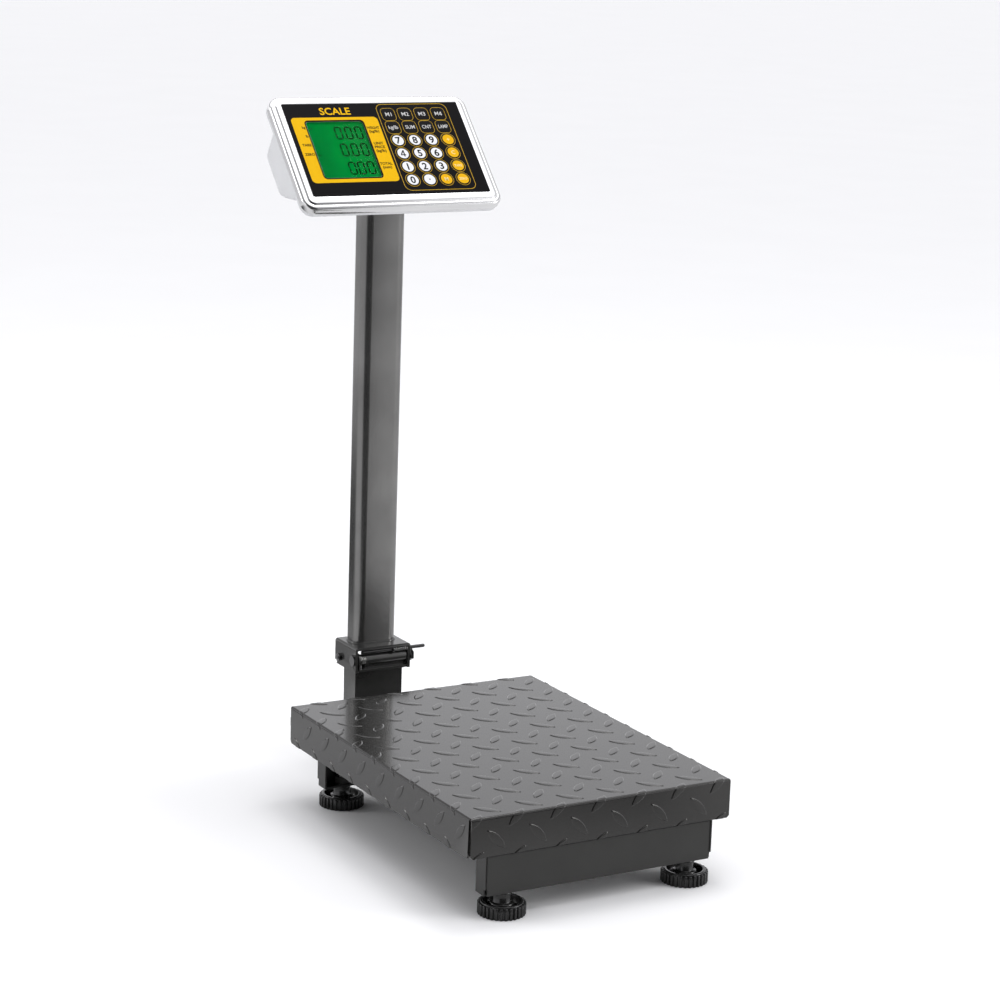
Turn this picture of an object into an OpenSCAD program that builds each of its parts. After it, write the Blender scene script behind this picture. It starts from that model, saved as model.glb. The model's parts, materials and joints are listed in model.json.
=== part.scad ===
// Foldable price-computing platform scale: a tread-plate pan on a two-beam base with four levelling
// feet, a fold-down column behind the pan, and a tilted indicator head with a keypad and an LCD.
// Frame: +X to the user's right, -Y towards the user, +Z up. The origin is on the floor, on the plane
// of symmetry, in the middle of the whole scale's depth. Modules below measure Y from the pan's centre.

/* [Pan] */
// Pan width, left to right
pan_w = 300; // [290:2:310]
// Pan length, front to back
pan_l = 400; // [390:2:404]
// Height of the pan's flat top above the floor
pan_top = 104.5; // [104:0.5:106]
// Depth of the folded skirt
skirt_h = 40.3; // [36:0.1:41]
// Pan sheet thickness
pan_t = 2; // [1.5:0.1:2]
// Outer bend radius along the pan's top edges
bend_r = 2.4; // [2.1:0.1:3]
// Tread pattern pitch across the pan
tread_dx = 46.4; // [44:0.1:50]
// Tread pattern pitch along the pan
tread_dy = 42.1; // [40:0.1:46]
// Length of one raised lens
lens_l = 29; // [24:0.5:30]
// Width of one raised lens
lens_w = 9; // [7:0.5:10]
// Height of one raised lens
lens_h = 0.8; // [0.5:0.1:1]

/* [Base] */
// Length of the front and rear beams
beam_w = 257.2; // [250:0.2:260]
// Height of a beam
beam_h = 40; // [38:0.5:40]
// Depth of a beam, front to back
beam_d = 19; // [18:0.5:20]
// Height of the beams' underside above the floor
beam_z = 22.9; // [22:0.1:24]
// Sheet thickness of a beam
beam_t = 2; // [1.5:0.1:2.5]
// Y of the front beam's outer face
front_y = -198; // [-198:0.5:-196]
// Y of the rear beam's outer face
rear_y = 170; // [165:0.5:175]
// Width of the spine tube
spine_w = 60; // [56:1:60]
// Height of the spine tube
spine_h = 30; // [28:1:30]
// Wall of the spine tube
spine_t = 2.5; // [2:0.1:3]

/* [Feet] */
// Distance of each foot from the plane of symmetry
foot_x = 105.8; // [104:0.1:108]
// Radius over the knob's ribs
knob_r = 24; // [22:0.5:24]
// Height of the knob's ribbed rim
knob_h = 13.2; // [12:0.1:14]
// Number of ribs round a knob
ribs = 30; // [24:1:36]
// Radius of the levelling stud
stud_r = 5; // [4:0.5:5]

/* [Load cell] */
// Length of the load cell
cell_l = 130; // [120:1:140]
// Width of the load cell
cell_w = 30; // [25:1:32]
// Height of the load cell
cell_h = 22; // [20:0.5:22]

/* [Hinge] */
// Width of the post stub
stub_w = 59; // [56:0.5:59]
// Depth of the post stub
stub_d = 28.3; // [26:0.1:30]
// Y of the stub's front face
stub_y = 283.8; // [283:0.1:286]
// Y of the fold axis
pivot_y = 281; // [280:0.1:282]
// Height of the fold axis
pivot_z = 120; // [119.5:0.1:120.5]
// Radius of the fold barrel
barrel_r = 6.3; // [5.5:0.1:6.3]
// Radius of the pivot bolt
bolt_r = 4; // [3:0.5:4.5]
// Outer width of the saddle
saddle_w = 68.8; // [68.8:0.1:70]
// Sheet thickness of the saddle
saddle_t = 3; // [2.5:0.1:3]
// Radius of the latch rod
rod_r = 2.1; // [2:0.1:2.2]

/* [Column] */
// Width of the column tube
col_w = 52; // [48:0.5:54]
// Depth of the column tube
col_d = 30; // [28:0.5:32]
// Outer corner radius of the column tube
col_r = 8; // [5:0.5:9]
// Wall of the column tube
col_t = 2; // [1.5:0.1:2.5]
// Y of the column's axis
col_y = 306; // [304:0.5:308]

/* [Head] */
// Y of the centre of the face panel
head_y = 294.8; // [292:0.1:298]
// Height of the centre of the face panel
head_z = 689.1; // [685:0.1:700]
// Angle of the face from horizontal
head_tilt = 46.5; // [44:0.5:49]
// Width of the bezel
bezel_w = 240; // [238:0.5:244]
// Height of the bezel, measured up the slope
bezel_h = 150; // [148:0.5:152]
// Corner radius of the bezel
bezel_r = 14; // [10:0.5:16]
// Width of the face panel
panel_w = 213.2; // [212:0.2:214]
// Height of the face panel
panel_h = 123.2; // [122:0.2:124]
// Depth of the head behind the panel's face
head_d = 62; // [58:0.5:62]
// Wall of the rear shell
shell_t = 2; // [1.5:0.1:2.5]
// Key pitch, left to right
key_dx = 20.6; // [19.5:0.1:21]
// Key pitch, down the slope
key_dv = 17.85; // [17.6:0.05:18.2]
// Radius of a round key, and half the width of a square one
key_r = 8.3; // [7.5:0.1:8.4]

/* [Hidden] */
$fn = 96;
e = 0.01; // how far a cut runs past a face
fit = 0.1; // radial gap of a bolt in its hole
gap = 0.35; // gap round a piece that moves

key_names = [for (row = [1 : 6]) for (col = [1 : 4]) str("key_r", row, "_c", col)];
foot_names = ["front_left", "front_right", "rear_left", "rear_right"];

// Vertical stack between the beams and the pan
beam_top = beam_z + beam_h;
spine_z = 30;
spine_top = spine_z + spine_h;
spacer_t = 4;
cell_z = spine_top + spacer_t;
plate_z = cell_z + cell_h + spacer_t;
pad_t = 3;
pad_r = 11;
frame_top = pan_top - pan_t - pad_t;
rail_h = 12;
rail_w = 20;
rail_x = 95;
rail_l = 384;
bar_y = 120; // Y of the upper frame's cross bars
plate_t = 4;
plate_w = 50;
front_beam_y = front_y + beam_d / 2;
rear_beam_y = rear_y - beam_d / 2;
end_t = 1.8;
nut_af = 15;
nut_h = 9;
bolt6_r = 3;
stop_gap = 1.2;

// Hinge
leaf_z = 107; // underside of the lower leaf's plate
leaf_t = 3;
leaf_w = stub_w + 1;
leaf_front = 275.5;
saddle_z = 106.8;
saddle_top = 135.3;
saddle_front = 274.5;
saddle_back = 325.6;
barrel_x0 = -20.5;
barrel_x1 = 30;
rod_y = 277.2;
rod_z = 129.4;
rod_x0 = -26.5;
rod_x1 = 54;
collar_x = 12;
cross_y = 312.4;
cross_z = 116.4;
cross_r = 2.5;

// Head, in its own frame: X right, Y up the slope, Z out of the face
bezel_v = -2.3; // centre of the bezel, up the slope
bezel_d = 11;
bezel_t = 2;
edge_r = 3.6; // rounding of the bezel's front edge
border_step = 1; // the inner border stands this much above the outer one
flange_d = 4.6;
flange_back = -bezel_d - 0.4 - flange_d;
panel_t = 0.8;
window_x = -51.4;
window_v = -0.2;
window_w = 68.8;
window_h = 76;
key_x0 = 17.4;
key_v0 = 45.8;
key_top = 0.15; // the keys stand this much above the panel
key_t = 1.2;
seat_z = 629; // height of the shell's level seat on the column
body_x = 112.5; // half the width of the shell's body
body_corner = 8;
screw_v = [66, -71.6];
screw_x = [-92, 0, 92];
boss_r = 3.6;
screw_r = 1.5;
board_n = -26;
board_t = 1.6;
board_w = 170;
board_h = 76;
board_v = 6;
board_hole_x = 78;
board_hole_v = 26;
socket_x = 60;
socket_r = 5.5;
rocker_x = -60;
seat_y = 292;
rocker_z = seat_z + 3;
rocker_turn = 14;
battery_v = 5;

// Shell outline in the plane across X: [distance up the slope, distance out of the face]
function slope_at(v) = (seat_z - head_z - v * sin(head_tilt)) / cos(head_tilt);
function slope_v(n) = (seat_z - head_z - n * cos(head_tilt)) / sin(head_tilt);
shell_low = -66.5;
shell_high = 51;
shell_shoulder = 40;
shell_points = [
    [shell_low, flange_back],
    [shell_low, slope_at(shell_low)],
    [slope_v(-head_d), -head_d],
    [shell_shoulder, -head_d],
    [shell_high, flange_back]
];
shell_radii = [0, 2, 8, 12, 0];

// The whole scale's depth, from the front feet to the rounded back of the head
back_n = -head_d + shell_radii[3];
shoulder_dir = (shell_points[4] - shell_points[3]) / norm(shell_points[4] - shell_points[3]);
shoulder_turn = acos(-shoulder_dir[0]);
shoulder_v = shell_shoulder - shell_radii[3] / tan(shoulder_turn / 2);
head_back = head_y + shoulder_v * cos(head_tilt) - back_n * sin(head_tilt) + shell_radii[3];
feet_front = front_beam_y - knob_r;
y_shift = -(head_back + feet_front) / 2;

// ---- helpers ----

module placed() {
    translate([0, y_shift, 0]) children();
}

module in_head() {
    placed() translate([0, head_y, head_z]) rotate([head_tilt, 0, 0]) children();
}

// A cylinder along X from x0 to x1
module rod_x(x0, x1, r) {
    translate([x0, 0, 0]) rotate([0, 90, 0]) cylinder(h = x1 - x0, r = r);
}

module box(x0, x1, y0, y1, z0, z1) {
    translate([x0, y0, z0]) cube([x1 - x0, y1 - y0, z1 - z0]);
}

module round_rect(w, h, r) {
    square([w - 2 * r, h], center = true);
    square([w, h - 2 * r], center = true);
    for (x = [-1, 1], y = [-1, 1])
        translate([x * (w / 2 - r), y * (h / 2 - r)]) circle(r);
}

// A convex outline whose corners are rounded by true arcs
module round_corners(points, radii) {
    n = len(points);
    function unit(v) = v / norm(v);
    function to_prev(i) = unit(points[(i + n - 1) % n] - points[i]);
    function to_next(i) = unit(points[(i + 1) % n] - points[i]);
    function half(i) = acos(to_prev(i) * to_next(i)) / 2;
    function trim(i) = radii[i] / tan(half(i));
    polygon([for (i = [0 : n - 1]) each radii[i] == 0
        ? [points[i]]
        : [points[i] + to_prev(i) * trim(i), points[i] + to_next(i) * trim(i)]]);
    for (i = [0 : n - 1]) {
        if (radii[i] > 0) {
            bisector = unit(to_prev(i) + to_next(i));
            translate(points[i] + bisector * radii[i] / sin(half(i))) circle(radii[i]);
        }
    }
}

// A square-cornered tube section
module tube_section(w, h, t) {
    difference() {
        square([w, h], center = true);
        square([w - 2 * t, h - 2 * t], center = true);
    }
}

module hex(af, h) {
    cylinder(h = h, r = af / 2 / cos(30), $fn = 6);
}

// ---- pan ----

module lens_outline() {
    arc_r = (lens_l * lens_l + lens_w * lens_w) / (4 * lens_w);
    intersection() {
        translate([0, arc_r - lens_w / 2]) circle(arc_r);
        translate([0, lens_w / 2 - arc_r]) circle(arc_r);
    }
}

// The tread pattern over one flat region of the unfolded sheet
module tread(x0, x1, y0, y1) {
    phase_x = 18.3;
    phase_y = -11.7;
    reach = lens_l * 0.36;
    sink = 0.4;
    translate([0, 0, -sink]) linear_extrude(lens_h + sink) intersection() {
        translate([x0, y0]) square([x1 - x0, y1 - y0]);
        union() {
            for (lean = [-1, 1], i = [-6 : 6], j = [-7 : 7]) {
                x = phase_x + (i - (lean > 0 ? 0.5 : 0)) * tread_dx;
                y = phase_y + (j + (lean > 0 ? 0.5 : 0)) * tread_dy;
                if (x > x0 - reach && x < x1 + reach && y > y0 - reach && y < y1 + reach)
                    translate([x, y]) rotate(45 * lean) lens_outline();
            }
        }
    }
}

module bent_profile(w, h, r) {
    translate([-w / 2, 0]) square([w, h - r]);
    translate([-w / 2 + r, 0]) square([w - 2 * r, h]);
    for (s = [-1, 1])
        translate([s * (w / 2 - r), h - r]) circle(r);
}

module pan() {
    rim = bend_r + 0.3;
    low = skirt_h - 0.6;
    color([0.33, 0.33, 0.33]) placed() {
        difference() {
            translate([0, 0, pan_top - skirt_h]) intersection() {
                rotate([90, 0, 0]) linear_extrude(pan_l, center = true) bent_profile(pan_w, skirt_h, bend_r);
                rotate([90, 0, 90]) linear_extrude(pan_w, center = true) bent_profile(pan_l, skirt_h, bend_r);
            }
            box(
                -pan_w / 2 + pan_t, pan_w / 2 - pan_t, -pan_l / 2 + pan_t, pan_l / 2 - pan_t,
                pan_top - skirt_h - e, pan_top - pan_t
            );
        }
        translate([0, 0, pan_top])
            tread(-pan_w / 2 + rim, pan_w / 2 - rim, -pan_l / 2 + rim, pan_l / 2 - rim);
        translate([0, -pan_l / 2, pan_top + pan_l / 2]) rotate([90, 0, 0])
            tread(-pan_w / 2 + rim, pan_w / 2 - rim, -pan_l / 2 - low, -pan_l / 2 - rim);
        translate([0, pan_l / 2, pan_top + pan_l / 2]) rotate([-90, 0, 0])
            tread(-pan_w / 2 + rim, pan_w / 2 - rim, pan_l / 2 + rim, pan_l / 2 + low);
        translate([-pan_w / 2, 0, pan_top + pan_w / 2]) rotate([0, -90, 0])
            tread(-pan_w / 2 - low, -pan_w / 2 - rim, -pan_l / 2 + rim, pan_l / 2 - rim);
        translate([pan_w / 2, 0, pan_top + pan_w / 2]) rotate([0, 90, 0])
            tread(pan_w / 2 + rim, pan_w / 2 + low, -pan_l / 2 + rim, pan_l / 2 - rim);
    }
}

module pan_pads() {
    color([0.12, 0.12, 0.12]) placed()
        for (x = [-rail_x, rail_x], y = [-160, 160])
            translate([x, y, frame_top]) cylinder(h = pad_t, r = pad_r);
}

// ---- base ----

// A folded channel, open towards the middle of the scale, with welded end plates and weld nuts for
// the feet. facing is -1 on the front beam and 1 on the rear one.
module beam(outer_y, facing) {
    inner_y = outer_y - facing * beam_d;
    y0 = min(outer_y, inner_y);
    y1 = max(outer_y, inner_y);
    notch_d = 3;
    notch_h = 7;
    difference() {
        union() {
            difference() {
                box(-beam_w / 2, beam_w / 2, y0, y1, beam_z, beam_top);
                translate([0, -facing * beam_t, 0])
                    box(-beam_w / 2 - e, beam_w / 2 + e, y0, y1, beam_z + beam_t, beam_top - beam_t);
            }
            for (s = [-1, 1]) {
                translate([s * (beam_w + end_t) / 2, (y0 + y1) / 2, beam_z + beam_h / 2])
                    cube([end_t, beam_d, beam_h], center = true);
                translate([s * foot_x, (y0 + y1) / 2, beam_z + beam_t / 2]) hex(nut_af, nut_h);
            }
        }
        for (s = [-1, 1])
            translate([s * (beam_w / 2 + end_t), outer_y, beam_z])
                cube([2 * (end_t + 1), 2 * notch_d, 2 * notch_h], center = true);
        for (s = [-1, 1])
            translate([s * foot_x, (y0 + y1) / 2, beam_z - e])
                cylinder(h = beam_t / 2 + nut_h + 2 * e, r = stud_r + 0.4);
    }
}

module base_front_beam() {
    color([0.2, 0.2, 0.2]) placed() beam(front_y, -1);
}

module base_rear_beam() {
    color([0.2, 0.2, 0.2]) placed() difference() {
        beam(rear_y, 1);
        box(-spine_w / 2, spine_w / 2, rear_y - beam_d - e, rear_y + e, spine_z, spine_top);
    }
}

// The tube that joins the beams, passes through the rear one and carries the post
module base_spine() {
    y0 = front_y + beam_t;
    y1 = stub_y + stub_d;
    plug_t = 2;
    color([0.2, 0.2, 0.2]) placed() difference() {
        union() {
            translate([0, y1, spine_z + spine_h / 2]) rotate([90, 0, 0])
                linear_extrude(y1 - y0) tube_section(spine_w, spine_h, spine_t);
            box(-spine_w / 2 + 1, spine_w / 2 - 1, y1 - plug_t, y1, spine_z + 1, spine_top - 1);
            spacer(-45, spine_top - 1, spacer_t + 1);
        }
        for (y = [-55, -35])
            translate([0, y, spine_top - spine_t - e]) cylinder(h = spine_t + 2 * e, r = bolt6_r + fit);
    }
}

function foot_centre(i) = [(i % 2 == 0 ? -1 : 1) * foot_x, i < 2 ? front_beam_y : rear_beam_y, 0];

module foot_knob(i) {
    rib_depth = 2;
    ring_r = 19.7;
    collar_r = 10.2;
    rib_w = 1.25;
    color([0.1, 0.1, 0.1]) placed() translate(foot_centre(i)) difference() {
        union() {
            cylinder(h = knob_h, r = knob_r - rib_depth);
            for (k = [0 : ribs - 1])
                rotate(k * 360 / ribs) translate([knob_r - rib_w, 0, 0.6])
                    cylinder(h = knob_h - 1.2, r = rib_w);
            translate([0, 0, knob_h]) rotate_extrude() translate([ring_r, 0]) circle(1.5);
            cylinder(h = beam_z, r = collar_r);
        }
        translate([0, 0, knob_h - 2.5]) difference() {
            cylinder(h = 2.5 + e, r = ring_r - 1.5);
            translate([0, 0, -e]) cylinder(h = 3, r = collar_r);
        }
        translate([0, 0, 5]) cylinder(h = beam_z, r = stud_r + fit);
    }
}

module foot_stud(i) {
    groove = 0.35;
    pitch = 3;
    color([0.6, 0.6, 0.6]) placed() translate(foot_centre(i)) translate([0, 0, 5]) difference() {
        cylinder(h = 43, r = stud_r);
        for (z = [22 : pitch : 41])
            translate([0, 0, z]) difference() {
                cylinder(h = 1, r = stud_r + 1);
                translate([0, 0, -e]) cylinder(h = 1 + 2 * e, r = stud_r - groove);
            }
    }
}

// ---- weighing gear ----

module load_cell() {
    bore_r = 7;
    bore_y = 11;
    hole_y = [-55, -35, 35, 55];
    color([0.78, 0.79, 0.8]) placed() translate([0, 0, cell_z]) difference() {
        box(-cell_w / 2, cell_w / 2, -cell_l / 2, cell_l / 2, 0, cell_h);
        translate([0, 0, cell_h / 2]) {
            for (y = [-bore_y, bore_y])
                translate([0, y, 0]) rod_x(-cell_w, cell_w, bore_r);
            box(-cell_w, cell_w, -bore_y, bore_y, -3, 3);
        }
        for (y = hole_y)
            translate([0, y, -e]) cylinder(h = cell_h + 2 * e, r = bolt6_r + fit);
    }
}

// A pad with two bolt holes, between the cell and what it is bolted to
module spacer(y, z, h) {
    difference() {
        box(-cell_w / 2, cell_w / 2, y - 20, y + 20, z, z + h);
        for (dy = [-10, 10])
            translate([0, y + dy, z - e]) cylinder(h = h + 2 * e, r = bolt6_r + fit);
    }
}

// Socket-head bolts: two up through the spine into the cell, two down through the frame's plate
module cell_bolts() {
    head_h = 5;
    head_r = 4.5;
    shank = 18;
    color([0.5, 0.5, 0.52]) placed() {
        for (y = [-55, -35])
            translate([0, y, spine_top - spine_t]) {
                cylinder(h = shank, r = bolt6_r);
                translate([0, 0, -head_h]) cylinder(h = head_h, r = head_r);
            }
        for (y = [35, 55])
            translate([0, y, plate_z + plate_t]) {
                translate([0, 0, -shank]) cylinder(h = shank, r = bolt6_r);
                difference() {
                    cylinder(h = head_h, r = head_r);
                    translate([0, 0, 2]) hex(5, head_h);
                }
            }
    }
}

module upper_frame() {
    color([0.2, 0.2, 0.2]) placed() difference() {
        union() {
            for (s = [-1, 1])
                box(
                    s * rail_x - rail_w / 2, s * rail_x + rail_w / 2, -rail_l / 2, rail_l / 2,
                    frame_top - rail_h, frame_top
                );
            for (s = [-1, 1])
                box(
                    -rail_x, rail_x, s * bar_y - rail_w / 2, s * bar_y + rail_w / 2,
                    frame_top - rail_h, frame_top
                );
            box(-rail_x, rail_x, 45 - plate_w / 2, 45 + plate_w / 2, plate_z, plate_z + plate_t);
            spacer(45, plate_z - spacer_t, spacer_t + 1);
        }
        for (y = [35, 55])
            translate([0, y, plate_z - e]) cylinder(h = plate_t + 2 * e, r = bolt6_r + fit);
    }
}

module overload_stops() {
    stop_top = frame_top - rail_h - stop_gap;
    color([0.55, 0.55, 0.56]) placed()
        for (x = [-rail_x + 5, rail_x - 5], y = [front_beam_y, rear_beam_y])
            translate([x, y, beam_top]) {
                cylinder(h = stop_top - beam_top, r = 4);
                hex(13, 6);
            }
}

// ---- hinge ----

// The post's lower part: a tube on the spine, closed by the lower leaf that carries the fold barrel
module post_stub() {
    ear_t = 2.5;
    ear_x = leaf_w / 2;
    rib_t = 3;
    color([0.2, 0.2, 0.2]) placed() {
        translate([0, stub_y + stub_d / 2, spine_top])
            linear_extrude(leaf_z - spine_top) tube_section(stub_w, stub_d, spine_t);
        box(-leaf_w / 2, leaf_w / 2, leaf_front, stub_y + stub_d, leaf_z, leaf_z + leaf_t);
        difference() {
            union() {
                translate([0, pivot_y, pivot_z]) rod_x(barrel_x0, barrel_x1, barrel_r);
                box(
                    barrel_x0, barrel_x1, pivot_y - rib_t / 2, pivot_y + barrel_r,
                    leaf_z + leaf_t, pivot_z
                );
                translate([0, pivot_y, pivot_z]) rod_x(-ear_x, -ear_x + ear_t, barrel_r + 1.5);
                box(
                    -ear_x, -ear_x + ear_t, pivot_y - barrel_r - 0.5, pivot_y + barrel_r + 1.5,
                    leaf_z + leaf_t, pivot_z
                );
            }
            translate([0, pivot_y, pivot_z]) rod_x(-ear_x - 1, barrel_x1 + 1, bolt_r + fit);
        }
    }
}

module pivot_bolt() {
    side = saddle_w / 2;
    color([0.14, 0.14, 0.14]) placed() translate([0, pivot_y, pivot_z]) {
        rod_x(-side - 0.6, side + 5.5, bolt_r);
        rod_x(-side - 1.6, -side - 0.1, 6);
        rod_x(side + 0.1, side + 1.2, 7.6);
        translate([side + 1.2, 0, 0]) rotate([0, 90, 0]) hex(13, 3.6);
    }
}

// A plain washer and a coiled collar round the pivot bolt, between the ear and the barrel
module pivot_washers() {
    x0 = -leaf_w / 2 + 2.5;
    coil_n = 3;
    coil_pitch = 1.9;
    coil_x = x0 + 1.3;
    color([0.3, 0.3, 0.3]) placed() translate([0, pivot_y, pivot_z]) {
        difference() {
            rod_x(x0, x0 + 1.2, 6.8);
            rod_x(x0 - e, x0 + 1.3, bolt_r + fit);
        }
        rotate([0, 90, 0]) for (k = [0 : coil_n - 1])
            translate([0, 0, coil_x + 0.9 + k * coil_pitch])
                rotate_extrude() translate([bolt_r + 1.5, 0]) circle(0.9);
    }
}

module saddle_section() {
    corner_r = 3;
    translate([-saddle_w / 2, saddle_z]) square([saddle_t, saddle_top - saddle_z - corner_r]);
    translate([saddle_w / 2 - saddle_t, saddle_z]) square([saddle_t, saddle_top - saddle_z - corner_r]);
    translate([-saddle_w / 2 + corner_r, saddle_top - saddle_t])
        square([saddle_w - 2 * corner_r, saddle_t]);
    for (s = [-1, 1])
        intersection() {
            translate([s * (saddle_w / 2 - corner_r), saddle_top - corner_r]) circle(corner_r);
            translate([s * (saddle_w / 2 - corner_r / 2), saddle_top - corner_r / 2])
                square([corner_r + e, corner_r + e], center = true);
        }
}

// The upper leaf: a channel over the stub's top, with two side plates
module hinge_saddle() {
    corner = 5;
    color([0.2, 0.2, 0.2]) placed() difference() {
        translate([0, saddle_back, 0]) rotate([90, 0, 0])
            linear_extrude(saddle_back - saddle_front) saddle_section();
        translate([0, saddle_back, saddle_z]) rotate([45, 0, 0])
            cube([saddle_w + 2, corner, 2 * corner], center = true);
        translate([0, pivot_y, pivot_z]) rod_x(-saddle_w, saddle_w, bolt_r + fit);
        translate([0, pivot_y, pivot_z]) rod_x(-saddle_w / 2 - e, -saddle_w / 2 + 1, 6.2);
        translate([0, cross_y, cross_z]) rod_x(-saddle_w, saddle_w, cross_r + fit);
        translate([0, rod_y, rod_z]) rod_x(0, saddle_w, rod_r + fit);
    }
}

// Two short bolts through the saddle's sides, with the middle left open
module cross_bolt() {
    side = saddle_w / 2;
    reach = 12;
    color([0.16, 0.16, 0.16]) placed() translate([0, cross_y, cross_z]) {
        rod_x(-side - 4.5, -side + reach, cross_r);
        rod_x(side - reach, side + 1, cross_r);
        rod_x(side, side + 2.6, 4.6);
        translate([-side - 3.6, 0, 0]) rotate([0, 90, 0]) hex(8, 3.6);
    }
}

module latch_rod() {
    tip = 2;
    color([0.14, 0.14, 0.14]) placed() translate([0, rod_y, rod_z]) {
        rod_x(rod_x0 + tip, rod_x1 - tip, rod_r);
        translate([rod_x0 + tip, 0, 0]) sphere(rod_r);
        translate([rod_x1 - tip, 0, 0]) sphere(rod_r);
        intersection() {
            rod_x(collar_x, collar_x + 2, 4.2);
            box(0, 50, -4, 4, -2.4, 2.4);
        }
    }
}

module latch_spring() {
    coils = 7;
    x0 = collar_x + 2.5;
    x1 = saddle_w / 2 - saddle_t - 0.5;
    wire = 0.3;
    color([0.6, 0.6, 0.6]) placed() translate([0, rod_y, rod_z]) rotate([0, 90, 0])
        for (k = [0 : coils - 1])
            translate([0, 0, x0 + wire + k * (x1 - x0 - 2 * wire) / (coils - 1)])
                rotate_extrude() translate([rod_r + 0.05 + wire, 0]) circle(wire, $fn = 24);
}

// ---- column ----

module column_tube() {
    head_plate_z = seat_z - 3;
    color([0.4, 0.4, 0.4]) placed() translate([0, col_y, saddle_top])
        linear_extrude(head_plate_z - saddle_top) difference() {
            round_rect(col_w, col_d, col_r);
            round_rect(col_w - 2 * col_t, col_d - 2 * col_t, col_r - col_t);
        }
}

// The plate on top of the column, with four screws up into the shell
module column_head() {
    plate_x = 42;
    plate_y0 = 280;
    plate_y1 = 316;
    color([0.2, 0.2, 0.2]) placed() {
        difference() {
            box(-plate_x, plate_x, plate_y0, plate_y1, seat_z - 3, seat_z);
            for (x = [-36, 36], y = [286, 304])
                translate([x, y, seat_z - 3 - e]) cylinder(h = 3 + 2 * e, r = screw_r + fit);
        }
        for (x = [-36, 36], y = [286, 304])
            translate([x, y, seat_z - 3]) {
                cylinder(h = 9, r = screw_r);
                translate([0, 0, -2]) cylinder(h = 2, r = 3);
            }
    }
}

// ---- head ----

// A plate with rounded corners, from z = 0 up to h, whose top edge steps in by r
module soft_plate(w, l, corner, h, r) {
    linear_extrude(h - r) round_rect(w, l, corner);
    linear_extrude(h - r * 0.3) round_rect(w - r * 0.6, l - r * 0.6, corner - r * 0.3);
    linear_extrude(h) round_rect(w - 2 * r, l - 2 * r, corner - r);
}

module at_screws() {
    for (x = screw_x, v = screw_v)
        translate([x, v, 0]) children();
}

module front_bezel() {
    opening = 4;
    color([0.86, 0.86, 0.87]) in_head() difference() {
        union() {
            difference() {
                translate([0, bezel_v, -bezel_d])
                    soft_plate(bezel_w, bezel_h, bezel_r, bezel_d - border_step, edge_r);
                translate([0, bezel_v, -bezel_d - e]) linear_extrude(bezel_d - border_step - bezel_t)
                    round_rect(bezel_w - 2 * bezel_t, bezel_h - 2 * bezel_t, bezel_r - bezel_t);
            }
            translate([0, bezel_v, -bezel_t - border_step]) linear_extrude(bezel_t + border_step)
                round_rect(bezel_w - 13, bezel_h - 13, bezel_r - 6);
            at_screws() translate([0, 0, -bezel_d]) cylinder(h = bezel_d - 2, r = boss_r);
        }
        translate([0, 0, -panel_t]) linear_extrude(panel_t + e)
            round_rect(panel_w + 0.4, panel_h + 0.4, 1.2);
        translate([0, 0, -bezel_d]) linear_extrude(2 * bezel_d)
            round_rect(panel_w - 2 * opening, panel_h - 2 * opening, 2);
        at_screws() translate([0, 0, -bezel_d - e]) cylinder(h = 6, r = screw_r + fit);
    }
}

// The outline of the shell's body seen from the front, cut by the plane across the slope
module shell_plan(x, back, corner) {
    translate([-x, back + corner]) square([2 * x, flange_back - back - corner]);
    translate([-x + corner, back]) square([2 * (x - corner), corner + 1]);
    for (s = [-1, 1])
        translate([s * (x - corner), back + corner]) circle(corner);
}

module shell_body() {
    intersection() {
        rotate([90, 0, 90]) linear_extrude(2 * body_x, center = true)
            round_corners(shell_points, shell_radii);
        translate([0, 100, 0]) rotate([90, 0, 0]) linear_extrude(200)
            shell_plan(body_x, -head_d, body_corner);
    }
}

// The room inside the shell's body, with bevels where the outside is rounded
module shell_room() {
    v0 = shell_low + shell_t;
    v1 = slope_v(-head_d) + 1;
    back = -head_d + shell_t;
    x = body_x - shell_t;
    bevel = 8;
    front = flange_back + flange_d + 1;
    intersection() {
        rotate([90, 0, 90]) linear_extrude(2 * x, center = true) polygon([
            [v0, front], [v0, slope_at(v0) + 2 * shell_t], [v1, back],
            [shell_shoulder - bevel, back], [shell_shoulder + 1, back + bevel],
            [shell_high - shell_t, flange_back], [shell_high - shell_t, front]
        ]);
        translate([0, 100, 0]) rotate([90, 0, 0]) linear_extrude(200) polygon([
            [-x, front], [-x, back + bevel], [-x + bevel, back],
            [x - bevel, back], [x, back + bevel], [x, front]
        ]);
    }
}

module rear_shell() {
    boss_top = board_n - 0.1;
    color([0.82, 0.82, 0.84]) in_head() difference() {
        union() {
            difference() {
                union() {
                    translate([0, bezel_v, flange_back]) linear_extrude(flange_d)
                        round_rect(bezel_w - 1, bezel_h - 1, bezel_r - 0.5);
                    shell_body();
                }
                shell_room();
            }
            for (x = [-board_hole_x, board_hole_x], v = [-1, 1])
                translate([x, board_v + v * board_hole_v, -head_d + 1.5])
                    cylinder(h = boss_top + head_d - 1.5, r = boss_r);
        }
        at_screws() translate([0, 0, flange_back - e]) cylinder(h = flange_d + 2 * e, r = screw_r + fit);
        for (x = [-board_hole_x, board_hole_x], v = [-1, 1])
            translate([x, board_v + v * board_hole_v, boss_top - 8]) cylinder(h = 9, r = screw_r + fit);
        seat_cuts();
    }
}

// Openings through the shell's level seat: four screws, the power socket and the rocker
module seat_cuts() {
    rotate([-head_tilt, 0, 0]) translate([0, -head_y, -head_z]) {
        for (x = [-36, 36], y = [286, 304])
            translate([x, y, seat_z - 2]) cylinder(h = 9, r = screw_r + fit);
        translate([socket_x, seat_y, seat_z - 2]) cylinder(h = 12, r = socket_r + fit);
        translate([rocker_x - 9.5, seat_y - 6.5, seat_z - 2]) cube([19, 13, 12]);
    }
}

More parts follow.
